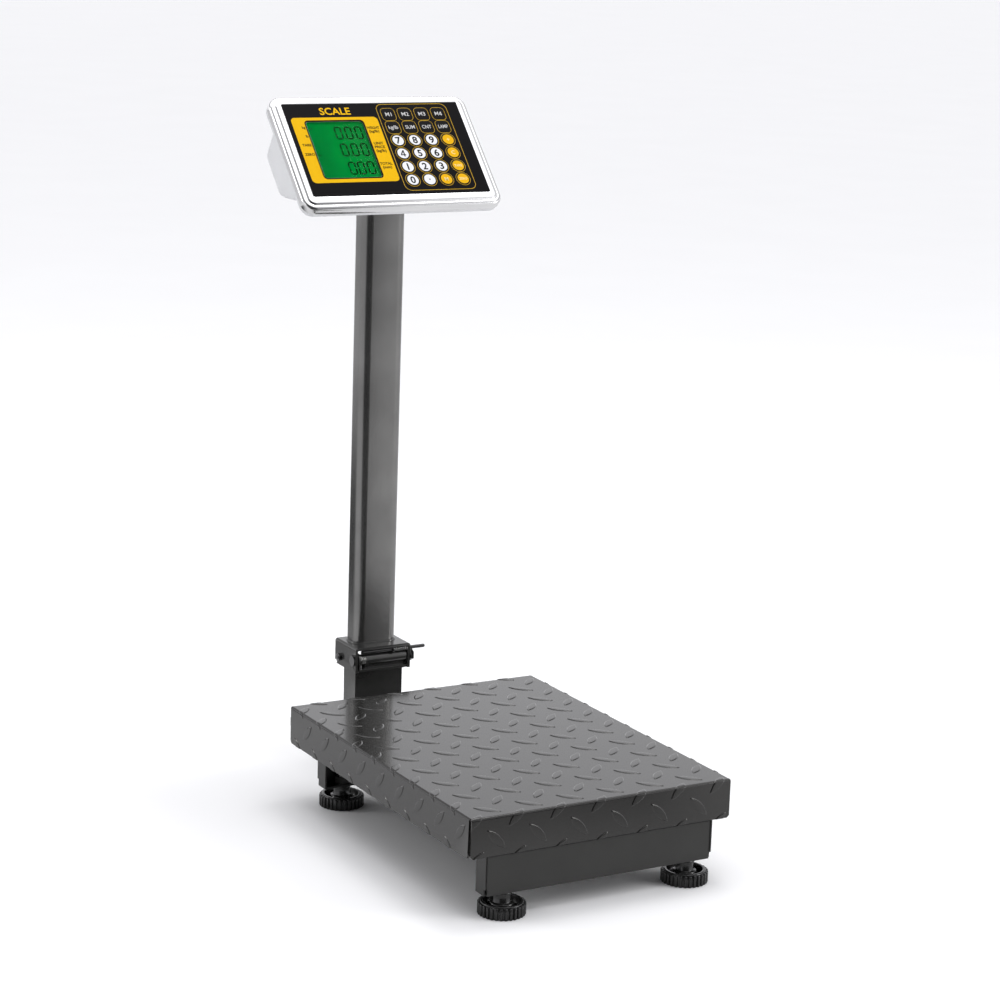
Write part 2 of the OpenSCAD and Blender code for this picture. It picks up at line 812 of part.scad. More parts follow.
module face_panel() {
    color([0.11, 0.1, 0.11]) in_head() translate([0, 0, -panel_t]) linear_extrude(panel_t) difference() {
        round_rect(panel_w, panel_h, 1);
        translate([window_x, window_v]) round_rect(window_w, window_h, 3.5);
        for (row = [1 : 6], col = [1 : 4])
            translate(key_place(row, col)) key_outline(row, key_r + gap);
    }
}

function key_place(row, col) = [key_x0 + (col - 1) * key_dx, key_v0 - (row - 1) * key_dv];

// The two upper rows are squares with rounded corners, the others are round
module key_outline(row, half) {
    if (row <= 2)
        round_rect(2 * half, 2 * half, half * 0.55);
    else
        circle(half);
}

module key(row, col) {
    stem = 0.8;
    amber = col == 4 || (row == 6 && col == 3);
    round_shade = amber ? [0.96, 0.72, 0.05] : [0.93, 0.93, 0.95];
    color(row <= 2 ? [0.12, 0.12, 0.12] : round_shade) in_head() translate(key_place(row, col)) {
        translate([0, 0, key_top - key_t]) linear_extrude(key_t) key_outline(row, key_r);
        translate([0, 0, key_top - key_t - stem]) cylinder(h = stem + e, r = 3);
    }
}

module lcd_glass() {
    color([0.7, 0.75, 0.7]) in_head() translate([window_x, window_v, -panel_t - 1.4])
        linear_extrude(1.2) round_rect(window_w + 4, window_h + 4, 3);
}

module lcd_module() {
    color([0.05, 0.55, 0.25]) in_head() translate([window_x, window_v, -9]) linear_extrude(6.6)
        square([window_w + 8, window_h + 8], center = true);
}

module main_board() {
    color([0.1, 0.35, 0.18]) in_head() {
        translate([0, board_v, board_n]) linear_extrude(board_t) difference() {
            square([board_w, board_h], center = true);
            for (x = [-board_hole_x, board_hole_x], v = [-board_hole_v, board_hole_v])
                translate([x, v]) circle(screw_r + fit);
        }
        translate([48, 0, board_n + board_t]) {
            key_board_n = -2.6 - board_n - board_t;
            translate([0, 0, key_board_n - board_t]) linear_extrude(board_t)
                square([88, 108], center = true);
            for (x = [-20, 20])
                translate([x, 0, 0]) cylinder(h = key_board_n - board_t + e, r = 2.5);
        }
    }
}

module battery() {
    color([0.15, 0.15, 0.17]) in_head() translate([0, battery_v, -head_d + shell_t + 0.2])
        linear_extrude(24) round_rect(97, 50, 2);
}

module shell_screws() {
    color([0.7, 0.7, 0.72]) in_head() {
        at_screws() {
            translate([0, 0, flange_back]) cylinder(h = 9, r = screw_r);
            translate([0, 0, flange_back - 2]) difference() {
                cylinder(h = 2, r = 2.9);
                for (a = [0, 90])
                    rotate(a) cube([3.6, 0.7, 2.2], center = true);
            }
        }
        for (x = [-board_hole_x, board_hole_x], v = [-1, 1])
            translate([x, board_v + v * board_hole_v, board_n + board_t]) {
                translate([0, 0, -8]) cylinder(h = 8 + e, r = screw_r);
                cylinder(h = 2, r = 2.9);
            }
    }
}

module power_socket() {
    color([0.1, 0.1, 0.1]) placed() translate([socket_x, seat_y, seat_z]) difference() {
        union() {
            translate([0, 0, -1.5]) cylinder(h = 1.4, r = 7.5);
            translate([0, 0, -1.5]) cylinder(h = 12, r = socket_r);
        }
        translate([0, 0, -2]) difference() {
            cylinder(h = 9, r = 3.2);
            cylinder(h = 9, r = 1);
        }
    }
}

// The rocker turns about a line along X just above the seat's opening
module power_rocker() {
    color([0.08, 0.08, 0.08]) placed() translate([rocker_x, seat_y, rocker_z])
        rotate([-rocker_turn / 2, 0, 0]) rotate([0, 90, 0]) linear_extrude(17.4, center = true) {
            circle(4.2);
            polygon([[0, -4.2], [5.6, -5.4], [4.4, 0], [5.6, 5.4], [0, 4.2]]);
        }
}

pan();
pan_pads();
base_front_beam();
base_rear_beam();
base_spine();
for (i = [0 : 3]) {
    foot_knob(i);
    foot_stud(i);
}
load_cell();
cell_bolts();
upper_frame();
overload_stops();
post_stub();
pivot_bolt();
pivot_washers();
hinge_saddle();
cross_bolt();
latch_rod();
latch_spring();
column_tube();
column_head();
front_bezel();
rear_shell();
face_panel();
lcd_glass();
lcd_module();
main_board();
battery();
shell_screws();
power_socket();
power_rocker();
for (row = [1 : 6], col = [1 : 4])
    key(row, col);
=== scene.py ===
import json
import math

import bmesh
import bpy
from mathutils import Matrix, Vector, geometry


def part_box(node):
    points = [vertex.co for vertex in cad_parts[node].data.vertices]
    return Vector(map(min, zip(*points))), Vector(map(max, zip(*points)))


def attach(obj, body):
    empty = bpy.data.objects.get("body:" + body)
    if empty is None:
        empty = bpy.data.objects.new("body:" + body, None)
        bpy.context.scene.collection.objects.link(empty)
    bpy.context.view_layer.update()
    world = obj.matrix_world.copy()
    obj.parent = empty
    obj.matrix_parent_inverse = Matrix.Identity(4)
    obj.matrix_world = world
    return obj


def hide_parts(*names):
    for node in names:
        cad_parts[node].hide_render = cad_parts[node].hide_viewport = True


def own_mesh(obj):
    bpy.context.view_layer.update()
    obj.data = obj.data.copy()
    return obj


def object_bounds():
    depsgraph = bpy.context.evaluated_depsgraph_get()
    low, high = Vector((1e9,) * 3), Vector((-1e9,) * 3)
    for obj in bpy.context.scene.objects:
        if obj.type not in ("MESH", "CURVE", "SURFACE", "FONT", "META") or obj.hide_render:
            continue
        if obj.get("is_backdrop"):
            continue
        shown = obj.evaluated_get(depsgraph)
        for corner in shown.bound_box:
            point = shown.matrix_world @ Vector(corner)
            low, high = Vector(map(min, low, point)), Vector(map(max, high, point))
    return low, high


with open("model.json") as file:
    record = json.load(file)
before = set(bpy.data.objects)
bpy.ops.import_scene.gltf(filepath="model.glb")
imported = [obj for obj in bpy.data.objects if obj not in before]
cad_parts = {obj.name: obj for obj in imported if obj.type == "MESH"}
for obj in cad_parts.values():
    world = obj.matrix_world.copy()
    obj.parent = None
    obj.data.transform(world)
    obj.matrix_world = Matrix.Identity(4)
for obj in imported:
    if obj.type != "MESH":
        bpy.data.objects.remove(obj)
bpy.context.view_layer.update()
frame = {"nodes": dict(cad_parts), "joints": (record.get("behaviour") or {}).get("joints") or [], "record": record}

# Sizes are in millimetres and are turned into metres by MM where a mesh is made.
MM = 0.001
NODES = frame["nodes"]
JOINTS = {j["name"]: j for j in frame["joints"]}
BODIES = frame["record"]["behaviour"]["bodies"]
BODY_OF = {node: body for body, nodes in BODIES.items() for node in nodes}
SLOT_OF = {s["node"]: s["material_slot"] for s in frame["record"]["subparts"]}


def box_mm(node):
    """Lowest and highest corner of a CAD node, in millimetres."""
    low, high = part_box(node)
    return low / MM, high / MM


# ---- the places that the frame gives ----

pan_low, pan_high = box_mm("pan")
PAN_Y = (pan_low.y + pan_high.y) / 2
TREAD_RISE = 0.8
PAN_HALF_W = pan_high.x - TREAD_RISE
PAN_HALF_L = (pan_high.y - pan_low.y) / 2 - TREAD_RISE
PAN_TOP = pan_high.z - TREAD_RISE
SKIRT_H = PAN_TOP - pan_low.z
SEAT_Z = box_mm("column_head")[1].z

# The head's own frame: x to the right, v up the slope of the face, n out of the face
press = JOINTS["key_r1_c1_press"]["axis"]
HEAD_TILT = math.atan2(press[1], -press[2])
UP_SLOPE = Vector((0, math.cos(HEAD_TILT), math.sin(HEAD_TILT)))
OUT_OF_FACE = Vector((0, -math.sin(HEAD_TILT), math.cos(HEAD_TILT)))
PANEL_W, PANEL_H, PANEL_T = 213.2, 123.2, 0.8
panel_low, panel_high = box_mm("face_panel")
HEAD_ORIGIN = (panel_low + panel_high) / 2 + OUT_OF_FACE * PANEL_T / 2


def in_head(x, v, n):
    return HEAD_ORIGIN + Vector((x, 0, 0)) + UP_SLOPE * v + OUT_OF_FACE * n


# ---- materials ----

def new_material(name, roughness, metallic=0.0, **constants):
    """A Principled material. constants are the shader's inputs, with _ for a space."""
    material = bpy.data.materials.new(name)
    material.use_nodes = True
    shader = material.node_tree.nodes["Principled BSDF"]
    shader.inputs["Roughness"].default_value = roughness
    shader.inputs["Metallic"].default_value = metallic
    for socket, value in constants.items():
        shader.inputs[socket.replace("_", " ")].default_value = value
    return material


def shader_of(material):
    return material.node_tree.nodes["Principled BSDF"]


def link(owner, output, target):
    """Links two sockets of a material or of the world."""
    owner.node_tree.links.new(output, target)


def add_node(owner, kind, **values):
    """A new node of a material or of the world. values are inputs, with _ for a space."""
    node = owner.node_tree.nodes.new(kind)
    for socket, value in values.items():
        node.inputs[socket.replace("_", " ")].default_value = value
    return node


def noise(material, size, detail=3.0, stretch=(1, 1, 1), distortion=0.0):
    """Noise whose grains are about size millimetres across, longer along an axis with a stretch over 1."""
    place = add_node(material, "ShaderNodeTexCoord")
    scaled = add_node(material, "ShaderNodeMapping", Scale=[1 / s for s in stretch])
    link(material, place.outputs["Object"], scaled.inputs["Vector"])
    made = add_node(
        material, "ShaderNodeTexNoise", Scale=1 / (size * MM), Detail=detail, Distortion=distortion
    )
    link(material, scaled.outputs["Vector"], made.inputs["Vector"])
    return made.outputs["Fac"]


def ramp(owner, factor, stops):
    """A colour ramp over factor. stops are (position, (r, g, b))."""
    made = add_node(owner, "ShaderNodeValToRGB")
    elements = made.color_ramp.elements
    while len(elements) < len(stops):
        elements.new(0.5)
    for element, (position, colour) in zip(elements, stops):
        element.position = position
        element.color = (*colour, 1)
    link(owner, factor, made.inputs["Fac"])
    return made.outputs["Color"]


def spread(material, factor, low, high, start=0.35, end=0.65):
    """Turns start..end of factor into low..high, and stops there at both ends."""
    made = add_node(
        material, "ShaderNodeMapRange", From_Min=start, From_Max=end, To_Min=low, To_Max=high
    )
    link(material, factor, made.inputs["Value"])
    return made.outputs["Result"]


def maths(owner, operation, first, second):
    """A Math node over two outputs. second may be a plain number."""
    made = add_node(owner, "ShaderNodeMath")
    made.operation = operation
    link(owner, first, made.inputs[0])
    if isinstance(second, float):
        made.inputs[1].default_value = second
    else:
        link(owner, second, made.inputs[1])
    return made.outputs[0]


def vector_maths(owner, operation, vector, fixed=(0, 0, 0)):
    """A Vector Math node over an output and a fixed vector."""
    made = add_node(owner, "ShaderNodeVectorMath")
    made.operation = operation
    made.inputs[1].default_value = fixed
    link(owner, vector, made.inputs[0])
    return made


def bump(material, layers):
    """Stacks bump layers, each (height output, depth in millimetres), and feeds the shader's normal."""
    below = None
    for height, depth in layers:
        made = add_node(material, "ShaderNodeBump", Strength=1.0, Distance=depth * MM)
        link(material, height, made.inputs["Height"])
        if below is not None:
            link(material, below, made.inputs["Normal"])
        below = made.outputs["Normal"]
    link(material, below, shader_of(material).inputs["Normal"])


def tone(material, factor, colour, spread_by):
    """Colour that varies by spread_by either way with factor."""
    dark = tuple(c * (1 - spread_by) for c in colour)
    light = tuple(min(1, c * (1 + spread_by)) for c in colour)
    shade = ramp(material, factor, [(0.3, dark), (0.7, light)])
    link(material, shade, shader_of(material).inputs["Base Color"])


def vary_roughness(material, factor, low, high):
    link(material, spread(material, factor, low, high), shader_of(material).inputs["Roughness"])


def paint(name, colour, roughness, grain, grain_depth, mottle=0.12, wave_depth=0.0, **constants):
    """Sprayed paint: a fine orange peel, soft clouds of tone and, if asked, a slight wave in the sheet."""
    made = new_material(name, roughness, **constants)
    clouds = noise(made, 55, detail=4)
    peel = noise(made, grain, detail=2)
    tone(made, clouds, colour, mottle)
    vary_roughness(made, peel, roughness * 0.9, roughness * 1.12)
    layers = [(peel, grain_depth)]
    if wave_depth:
        layers.append((noise(made, 90, detail=1), wave_depth))
    bump(made, layers)
    return made


def moulded(name, colour, roughness, grain=0.5, depth=0.012, tone_by=0.06, **constants):
    """Moulded plastic or rubber with a fine spark-eroded grain."""
    made = new_material(name, roughness, **constants)
    grains = noise(made, grain, detail=2)
    tone(made, noise(made, 30, detail=3), colour, tone_by)
    vary_roughness(made, grains, roughness * 0.9, roughness * 1.1)
    bump(made, [(grains, depth)])
    return made


def metal(name, colour, roughness, brush=(1, 1, 1), size=0.35, depth=0.006, tone_by=0.06):
    """Bare metal. brush stretches the grain along the axis that the metal was brushed along."""
    made = new_material(name, roughness, metallic=1.0)
    hairs = noise(made, size, detail=3, stretch=brush)
    tone(made, noise(made, 40, detail=3), colour, tone_by)
    vary_roughness(made, hairs, roughness * 0.75, roughness * 1.3)
    bump(made, [(hairs, depth)])
    return made


def printed(name, colour, roughness=0.45):
    """Screen-printed ink on an anti-glare film, a little uneven."""
    made = new_material(name, roughness, Specular_IOR_Level=0.04)
    tone(made, noise(made, 1.2, detail=2), colour, 0.04)
    bump(made, [(noise(made, 0.3, detail=1), 0.003)])
    return made


def lcd_green(name):
    """The lit back of the LCD: bright near the top right, darker and bluer near the bottom left."""
    made = new_material(name, 0.9, Specular_IOR_Level=0.0)
    place = add_node(made, "ShaderNodeTexCoord")
    split = add_node(made, "ShaderNodeSeparateXYZ")
    link(made, place.outputs["Object"], split.inputs["Vector"])
    low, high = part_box("lcd_module")
    across = spread(made, split.outputs["X"], 0, 0.65, low.x, high.x)
    up = spread(made, split.outputs["Z"], 0, 0.2, low.z, high.z)
    cloud = spread(made, noise(made, 26, detail=1), 0, 0.15)
    total = maths(made, "ADD", maths(made, "ADD", across, up), cloud)
    stops = [(0.1, (0.0, 0.135, 0.024)), (0.5, (0.0, 0.245, 0.034)), (1.0, (0.012, 0.23, 0.045))]
    green = ramp(made, total, stops)
    link(made, green, shader_of(made).inputs["Base Color"])
    link(made, green, shader_of(made).inputs["Emission Color"])
    shader_of(made).inputs["Emission Strength"].default_value = 0.2
    bump(made, [(noise(made, 0.4, detail=1), 0.002)])
    return made


def clear(name):
    """Clear film, a very little green."""
    made = new_material(name, 0.0, Transmission_Weight=1.0, IOR=1.05)
    tint = ramp(made, noise(made, 8), [(0.3, (0.93, 0.97, 0.94)), (0.7, (0.97, 1, 0.98))])
    link(made, tint, shader_of(made).inputs["Base Color"])
    return made


WARM = (1.0, 0.985, 0.96, 1.0)  # the tint of the black paint's shine
MATERIALS = {
    "pan": paint(
        "pan_enamel", (0.011, 0.0107, 0.0100), 0.17, 1.1, 0.010, wave_depth=0.06,
        Coat_Weight=0.2, Coat_Roughness=0.10, IOR=1.55, Specular_Tint=WARM,
    ),
    "base_paint": paint(
        "beam_paint", (0.023, 0.0235, 0.0225), 0.34, 0.8, 0.02, wave_depth=0.05, Specular_Tint=WARM,
    ),
    "column_paint": paint(
        "column_paint", (0.215, 0.213, 0.208), 0.23, 1.3, 0.06, mottle=0.14, metallic=0.92,
    ),
    "hinge_paint": paint(
        "hinge_paint", (0.098, 0.098, 0.095), 0.20, 0.9, 0.05, mottle=0.3, metallic=0.7,
    ),
    "black_steel": paint(
        "black_steel", (0.02, 0.02, 0.02), 0.14, 2.0, 0.01, metallic=0.3,
        Coat_Weight=1.0, Coat_Roughness=0.05,
    ),
    "zinc": metal("zinc_plate", (0.72, 0.72, 0.70), 0.2, size=1.5),
    "cell_aluminium": metal("cell_aluminium", (0.75, 0.76, 0.77), 0.35, brush=(1, 30, 1)),
    "knob": moulded("knob_plastic", (0.014, 0.014, 0.0135), 0.2),
    "pad": moulded("pad_rubber", (0.02, 0.02, 0.02), 0.7),
    "stainless": metal(
        "stainless", (0.74, 0.74, 0.74), 0.13, brush=(60, 1, 1), size=0.22, depth=0.004, tone_by=0.03
    ),
    "shell": moulded("shell_plastic", (0.66, 0.665, 0.675), 0.42, tone_by=0.025),
    "overlay": printed("overlay_film", (0.0035, 0.003, 0.0038)),
    "window": clear("window_film"),
    "lcd": lcd_green("lcd_backlight"),
    "board": moulded("board_laminate", (0.02, 0.16, 0.06), 0.4),
    "battery": moulded("battery_case", (0.04, 0.04, 0.05), 0.5),
    "key_black": printed("key_black_film", (0.0065, 0.006, 0.0065)),
    "key_white": printed("key_white_ink", (0.86, 0.87, 0.90)),
    "key_amber": printed("key_amber_ink", (0.84, 0.46, 0.006)),
    "black_plastic": moulded("black_plastic", (0.015, 0.015, 0.015), 0.4),
}
YELLOW_INK = printed("yellow_ink", (0.86, 0.49, 0.002))
GOLD_INK = printed("gold_ink", (0.62, 0.38, 0.03))
BLACK_INK = printed("black_ink", (0.003, 0.003, 0.003))
GREY_INK = printed("grey_ink", (0.66, 0.66, 0.66))
PALE_INK = printed("pale_ink", (0.92, 0.78, 0.40))
SEGMENT_INK = printed("lcd_segment", (0.0, 0.007, 0.002))
# The pale line at the window's edge is a painted highlight of the glass edge.
EDGE_HIGHLIGHT_INK = printed("window_edge_highlight", (0.52, 0.62, 0.60))
WASHER_STEEL = metal("washer_steel", (0.30, 0.30, 0.29), 0.12, size=1.5)


# ---- mesh helpers ----

def new_object(name, data):
    """An object in the scene."""
    made = bpy.data.objects.new(name, data)
    bpy.context.scene.collection.objects.link(made)
    return made


def round_loop(w, h, r, cx=0.0, cy=0.0, steps=6):
    """Points round a rectangle with round corners, anticlockwise from the bottom right corner."""
    r = max(0.01, min(r, w / 2, h / 2))
    points = []
    for k, (sx, sy) in enumerate([(1, -1), (1, 1), (-1, 1), (-1, -1)]):
        for i in range(steps + 1):
            angle = math.radians(-90 + 90 * k + 90 * i / steps)
            x, y = cx + sx * (w / 2 - r), cy + sy * (h / 2 - r)
            points.append((x + r * math.cos(angle), y + r * math.sin(angle)))
    return points


def circle_loop(r, cx, cy, steps=48):
    turns = [2 * math.pi * i / steps for i in range(steps)]
    return [(cx + r * math.cos(a), cy + r * math.sin(a)) for a in turns]


class Solid:
    """Points in millimetres and faces of one mesh, with a material number for each face."""

    def __init__(self):
        self.points = []
        self.faces = []
        self.numbers = []

    def add(self, points, faces, number=0):
        start = len(self.points)
        self.points += list(points)
        self.faces += [[start + i for i in face] for face in faces]
        self.numbers += [number] * len(faces)

    def loft(self, rings, numbers=0, closed=False, cap_start=False, cap_end=False):
        """Skins rings that have the same number of points. numbers is one material or one for each band."""
        count = len(rings[0])
        start = len(self.points)
        self.points += [p for ring in rings for p in ring]
        bands = len(rings) if closed else len(rings) - 1
        for k in range(bands):
            a, b = start + k * count, start + (k + 1) % len(rings) * count
            number = numbers if isinstance(numbers, int) else numbers[k]
            for i in range(count):
                j = (i + 1) % count
                self.faces.append([a + i, a + j, b + j, b + i])
                self.numbers.append(number)
        last = numbers if isinstance(numbers, int) else numbers[-1]
        if cap_start:
            self.faces.append([start + i for i in reversed(range(count))])
            self.numbers.append(last)
        if cap_end:
            self.faces.append([start + (len(rings) - 1) * count + i for i in range(count)])
            self.numbers.append(last)

    def make(self, name, materials, body, sharp=35, replaces=()):
        """The piece, in the scene. It is smooth except at edges sharper than sharp degrees."""
        mesh = bpy.data.meshes.new(name)
        mesh.from_pydata([Vector(p) * MM for p in self.points], [], self.faces)
        clean = bmesh.new()
        clean.from_mesh(mesh)
        bmesh.ops.recalc_face_normals(clean, faces=clean.faces)
        clean.to_mesh(mesh)
        clean.free()
        for material in materials if isinstance(materials, list) else [materials]:
            mesh.materials.append(material)
        mesh.polygons.foreach_set("material_index", self.numbers)
        mesh.shade_smooth()
        mesh.set_sharp_from_angle(angle=math.radians(sharp))
        piece = new_object(name, mesh)
        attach(piece, body)
        if replaces:
            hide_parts(*replaces)
        return piece


def ring_plate(solid, outer, inner, n0, n1):
    """A flat ring in the head between two loops of the same number of points."""
    rings = [(outer, n0), (outer, n1), (inner, n1), (inner, n0)]
    solid.loft([[in_head(x, v, n) for x, v in loop] for loop, n in rings], closed=True)


def flat_plate(solid, loop, n0, n1):
    """A plate in the head, with the loop as its outline."""
    solid.loft([[in_head(x, v, n) for x, v in loop] for n in (n0, n1)], cap_start=True, cap_end=True)


# ---- the pan ----

SHEET_T = 2.0
BEND_R = 2.4  # of the outer face
TREAD_DX, TREAD_DY = 46.4, 42.1  # from one lens to the next of the same lean
TREAD_X, TREAD_Y = 18.3, -11.7  # the lens nearest the middle
LENS_L, LENS_W, LENS_H = 29.0, 9.0, 0.72
LENS_RIM = 0.85  # width of the lens's sloping edge
LENS_ARC = (LENS_L ** 2 + LENS_W ** 2) / (4 * LENS_W)  # radius of the two arcs that outline a lens
LENS_OFF = LENS_ARC - LENS_W / 2
FLAT_X = PAN_HALF_W - BEND_R
FLAT_Y = PAN_HALF_L - BEND_R
BEND = math.pi / 2 * BEND_R  # the sheet's length round a bend
FOLD_X = FLAT_X + BEND + SKIRT_H - BEND_R
FOLD_Y = FLAT_Y + BEND + SKIRT_H - BEND_R
SIDE_END = PAN_HALF_L - 3.1  # where the side skirts stop, short of the front and back ones
FRONT_END = PAN_HALF_W - 1.2


def fold_place(s, flat):
    """Where a distance s along the unfolded sheet comes after the bend: offset, drop and tilt."""
    past = abs(s) - flat
    if past <= 0:
        return s, 0.0, 0.0
    tilt = min(past / BEND_R, math.pi / 2)
    straight = max(0.0, past - BEND)
    side = math.copysign(flat + BEND_R * math.sin(tilt), s)
    return side, BEND_R * (1 - math.cos(tilt)) + straight, tilt


def folded(u, v, h):
    """A point of the sheet, h above its outer face, from its unfolded place."""
    if abs(v) > FLAT_Y:
        y, drop, tilt = fold_place(v, FLAT_Y)
        out = math.copysign(1, v) * h * math.sin(tilt)
        return Vector((u, PAN_Y + y + out, PAN_TOP - drop + h * math.cos(tilt)))
    x, drop, tilt = fold_place(u, FLAT_X)
    out = math.copysign(1, u) * h * math.sin(tilt)
    return Vector((x + out, PAN_Y + v, PAN_TOP - drop + h * math.cos(tilt)))


def lens_rise(u, v):
    """Height of the tread at a point of the unfolded sheet: a steep edge and a slight crown."""
    highest, crown = 0.0, 0.12
    for lean in (-1, 1):
        shift = 0.5 if lean > 0 else 0.0
        du = u - TREAD_X - (round((u - TREAD_X) / TREAD_DX + shift) - shift) * TREAD_DX
        dv = v - TREAD_Y - (round((v - TREAD_Y) / TREAD_DY - shift) + shift) * TREAD_DY
        along = (du + lean * dv) / math.sqrt(2)
        across = abs(dv - lean * du) / math.sqrt(2)
        inside = LENS_ARC - math.hypot(along, across + LENS_OFF)
        t = max(0.0, min(1.0, (inside + 0.1) / LENS_RIM))
        top = LENS_H - crown + crown * min(1.0, inside / LENS_W * 2)
        highest = max(highest, t * t * (3 - 2 * t) * top)
    return highest


def lens_ring(depth, steps=16):
    """The lens outline moved in by depth, in the lens's own axes."""
    r = LENS_ARC - depth
    sweep = math.acos(min(1.0, LENS_OFF / r))
    ring = []
    for side in (1, -1):
        for k in range(steps):
            a = side * (sweep - 2 * sweep * k / steps)
            ring.append((r * math.sin(a), side * (r * math.cos(a) - LENS_OFF)))
    return ring


def sheet_outline():
    """The unfolded sheet: a rectangle with four skirts, with a relief notch at each corner."""
    chamfer = 2.5
    corner = [
        (FOLD_X, SIDE_END - chamfer), (FOLD_X - chamfer, SIDE_END), (FLAT_X, SIDE_END), (FLAT_X, FLAT_Y),
        (FRONT_END, FLAT_Y + 0.6), (FRONT_END, FOLD_Y - chamfer), (FRONT_END - chamfer, FOLD_Y),
    ]
    left = [(-x, y) for x, y in reversed(corner)]
    return corner + left + [(-x, -y) for x, y in corner] + [(-x, -y) for x, y in left]


def bend_lines(guards):
    """Lines across the sheet at even steps round each bend, and with guards one just outside each end."""
    steps = [BEND * k / 5 for k in range(6)] + ([-0.5, BEND + 0.5] if guards else [])
    lines = []
    for step in steps:
        for side in (-1, 1):
            u = side * (FLAT_X + step)
            reach_v = FLAT_Y if step < 0 else SIDE_END
            lines.append(((u, -reach_v), (u, reach_v)))
            v = side * (FLAT_Y + step)
            reach_u = FLAT_X if step <= 0 else FRONT_END
            lines.append(((-reach_u, v), (reach_u, v)))
    return lines


def add_bends(points, edges, guards):
    for start, end in bend_lines(guards):
        edges.append((len(points), len(points) + 1))
        points += [start, end]


def is_inside(point, outline):
    inside = False
    x, y = point
    for (x0, y0), (x1, y1) in zip(outline, outline[1:] + outline[:1]):
        if (y0 > y) != (y1 > y) and x < x0 + (y - y0) / (y1 - y0) * (x1 - x0):
            inside = not inside
    return inside


def triangulate(points, edges, outline):
    """Triangles that keep every edge, inside the outline. Also gives each input point's number."""
    result = geometry.delaunay_2d_cdt([Vector(p) for p in points], edges, [], 0, 1e-5)
    made, _, triangles, sources, _, _ = result
    kept = []
    for triangle in triangles:
        middle = sum((made[i] for i in triangle), Vector((0, 0))) / 3
        if is_inside(middle, outline):
            kept.append(list(triangle))
    where = {source: number for number, found in enumerate(sources) for source in found}
    return made, kept, where


def loop_edges(start, count):
    return [(start + k, start + (k + 1) % count) for k in range(count)]


def border_of(triangles):
    """The border of a triangulated sheet as one ordered loop."""
    sides = {(t[k], t[(k + 1) % 3]) for t in triangles for k in range(3)}
    after = {a: b for a, b in sides if (b, a) not in sides}
    loop = [next(iter(sorted(after)))]
    while after[loop[-1]] != loop[0]:
        loop.append(after[loop[-1]])
    return loop


def build_pan():
    """The pan's tread sheet, drawn flat with its lenses and bend lines and then folded."""
    outline = sheet_outline()
    points, edges = list(outline), loop_edges(0, len(outline))
    add_bends(points, edges, guards=True)
    reach, diagonal = LENS_L / 2, math.sqrt(2)
    for lean in (-1, 1):
        shift = 0.5 if lean > 0 else 0.0
        for i in range(-6, 7):
            for j in range(-7, 8):
                cx, cy = TREAD_X + (i - shift) * TREAD_DX, TREAD_Y + (j + shift) * TREAD_DY
                over_side = abs(cx) > FLAT_X - 2 and abs(cy) > FLAT_Y - 2
                if abs(cx) > FOLD_X + reach or abs(cy) > FOLD_Y + reach or over_side:
                    continue
                for depth in (-0.35, -0.1, 0.1, 0.3, 0.5, 0.75, 1.1, 2.6):
                    ring = lens_ring(depth)
                    edges += loop_edges(len(points), len(ring))
                    points += [
                        (cx + (p - lean * q) / diagonal, cy + (lean * p + q) / diagonal) for p, q in ring
                    ]
    outer, outer_faces, _ = triangulate(points, edges, outline)
    border = border_of(outer_faces)
    points, edges = [tuple(outer[i]) for i in border], loop_edges(0, len(border))
    add_bends(points, edges, guards=False)
    inner, inner_faces, where = triangulate(points, edges, outline)
    upper = [folded(p.x, p.y, lens_rise(p.x, p.y)) for p in outer]
    underside = [folded(p.x, p.y, -SHEET_T) for p in inner]
    base = len(upper)
    faces = outer_faces + [[base + i for i in reversed(f)] for f in inner_faces]
    for k, a in enumerate(border):
        following = (k + 1) % len(border)
        faces.append([border[following], a, base + where[k], base + where[following]])
    used = sorted({i for f in faces for i in f})
    number = {old: new for new, old in enumerate(used)}
    every = upper + underside
    solid = Solid()
    solid.add([every[i] for i in used], [[number[i] for i in f] for f in faces])
    solid.make("pan_tread_sheet", MATERIALS["pan"], "pan", sharp=75, replaces=["pan"])


# ---- softened copies of the folded, turned and machined pieces ----

MERGE = 0.002 * MM  # corners nearer than this are one


def boxes_mesh(name, boxes):
    """One mesh of separate boxes, each given by two corners in millimetres."""
    work = bmesh.new()
    for low, high in boxes:
        low, high = Vector(low), Vector(high)
        size = Matrix.Diagonal((*((high - low) * MM), 1))
        bmesh.ops.create_cube(work, size=1, matrix=Matrix.Translation((low + high) / 2 * MM) @ size)
    mesh = bpy.data.meshes.new(name)
    work.to_mesh(mesh)
    work.free()
    return mesh


def cut_away(mesh, tool_mesh):
    """A new mesh: the first one less the second."""
    body, tool = new_object("cut_body", mesh), new_object("cut_tool", tool_mesh)
    cut = body.modifiers.new("cut", "BOOLEAN")
    cut.operation = "DIFFERENCE"
    cut.object = tool
    cut.solver = "EXACT"
    bpy.context.view_layer.update()
    result = bpy.data.meshes.new_from_object(body.evaluated_get(bpy.context.evaluated_depsgraph_get()))
    for made in (body, tool):
        bpy.data.objects.remove(made)
    return result


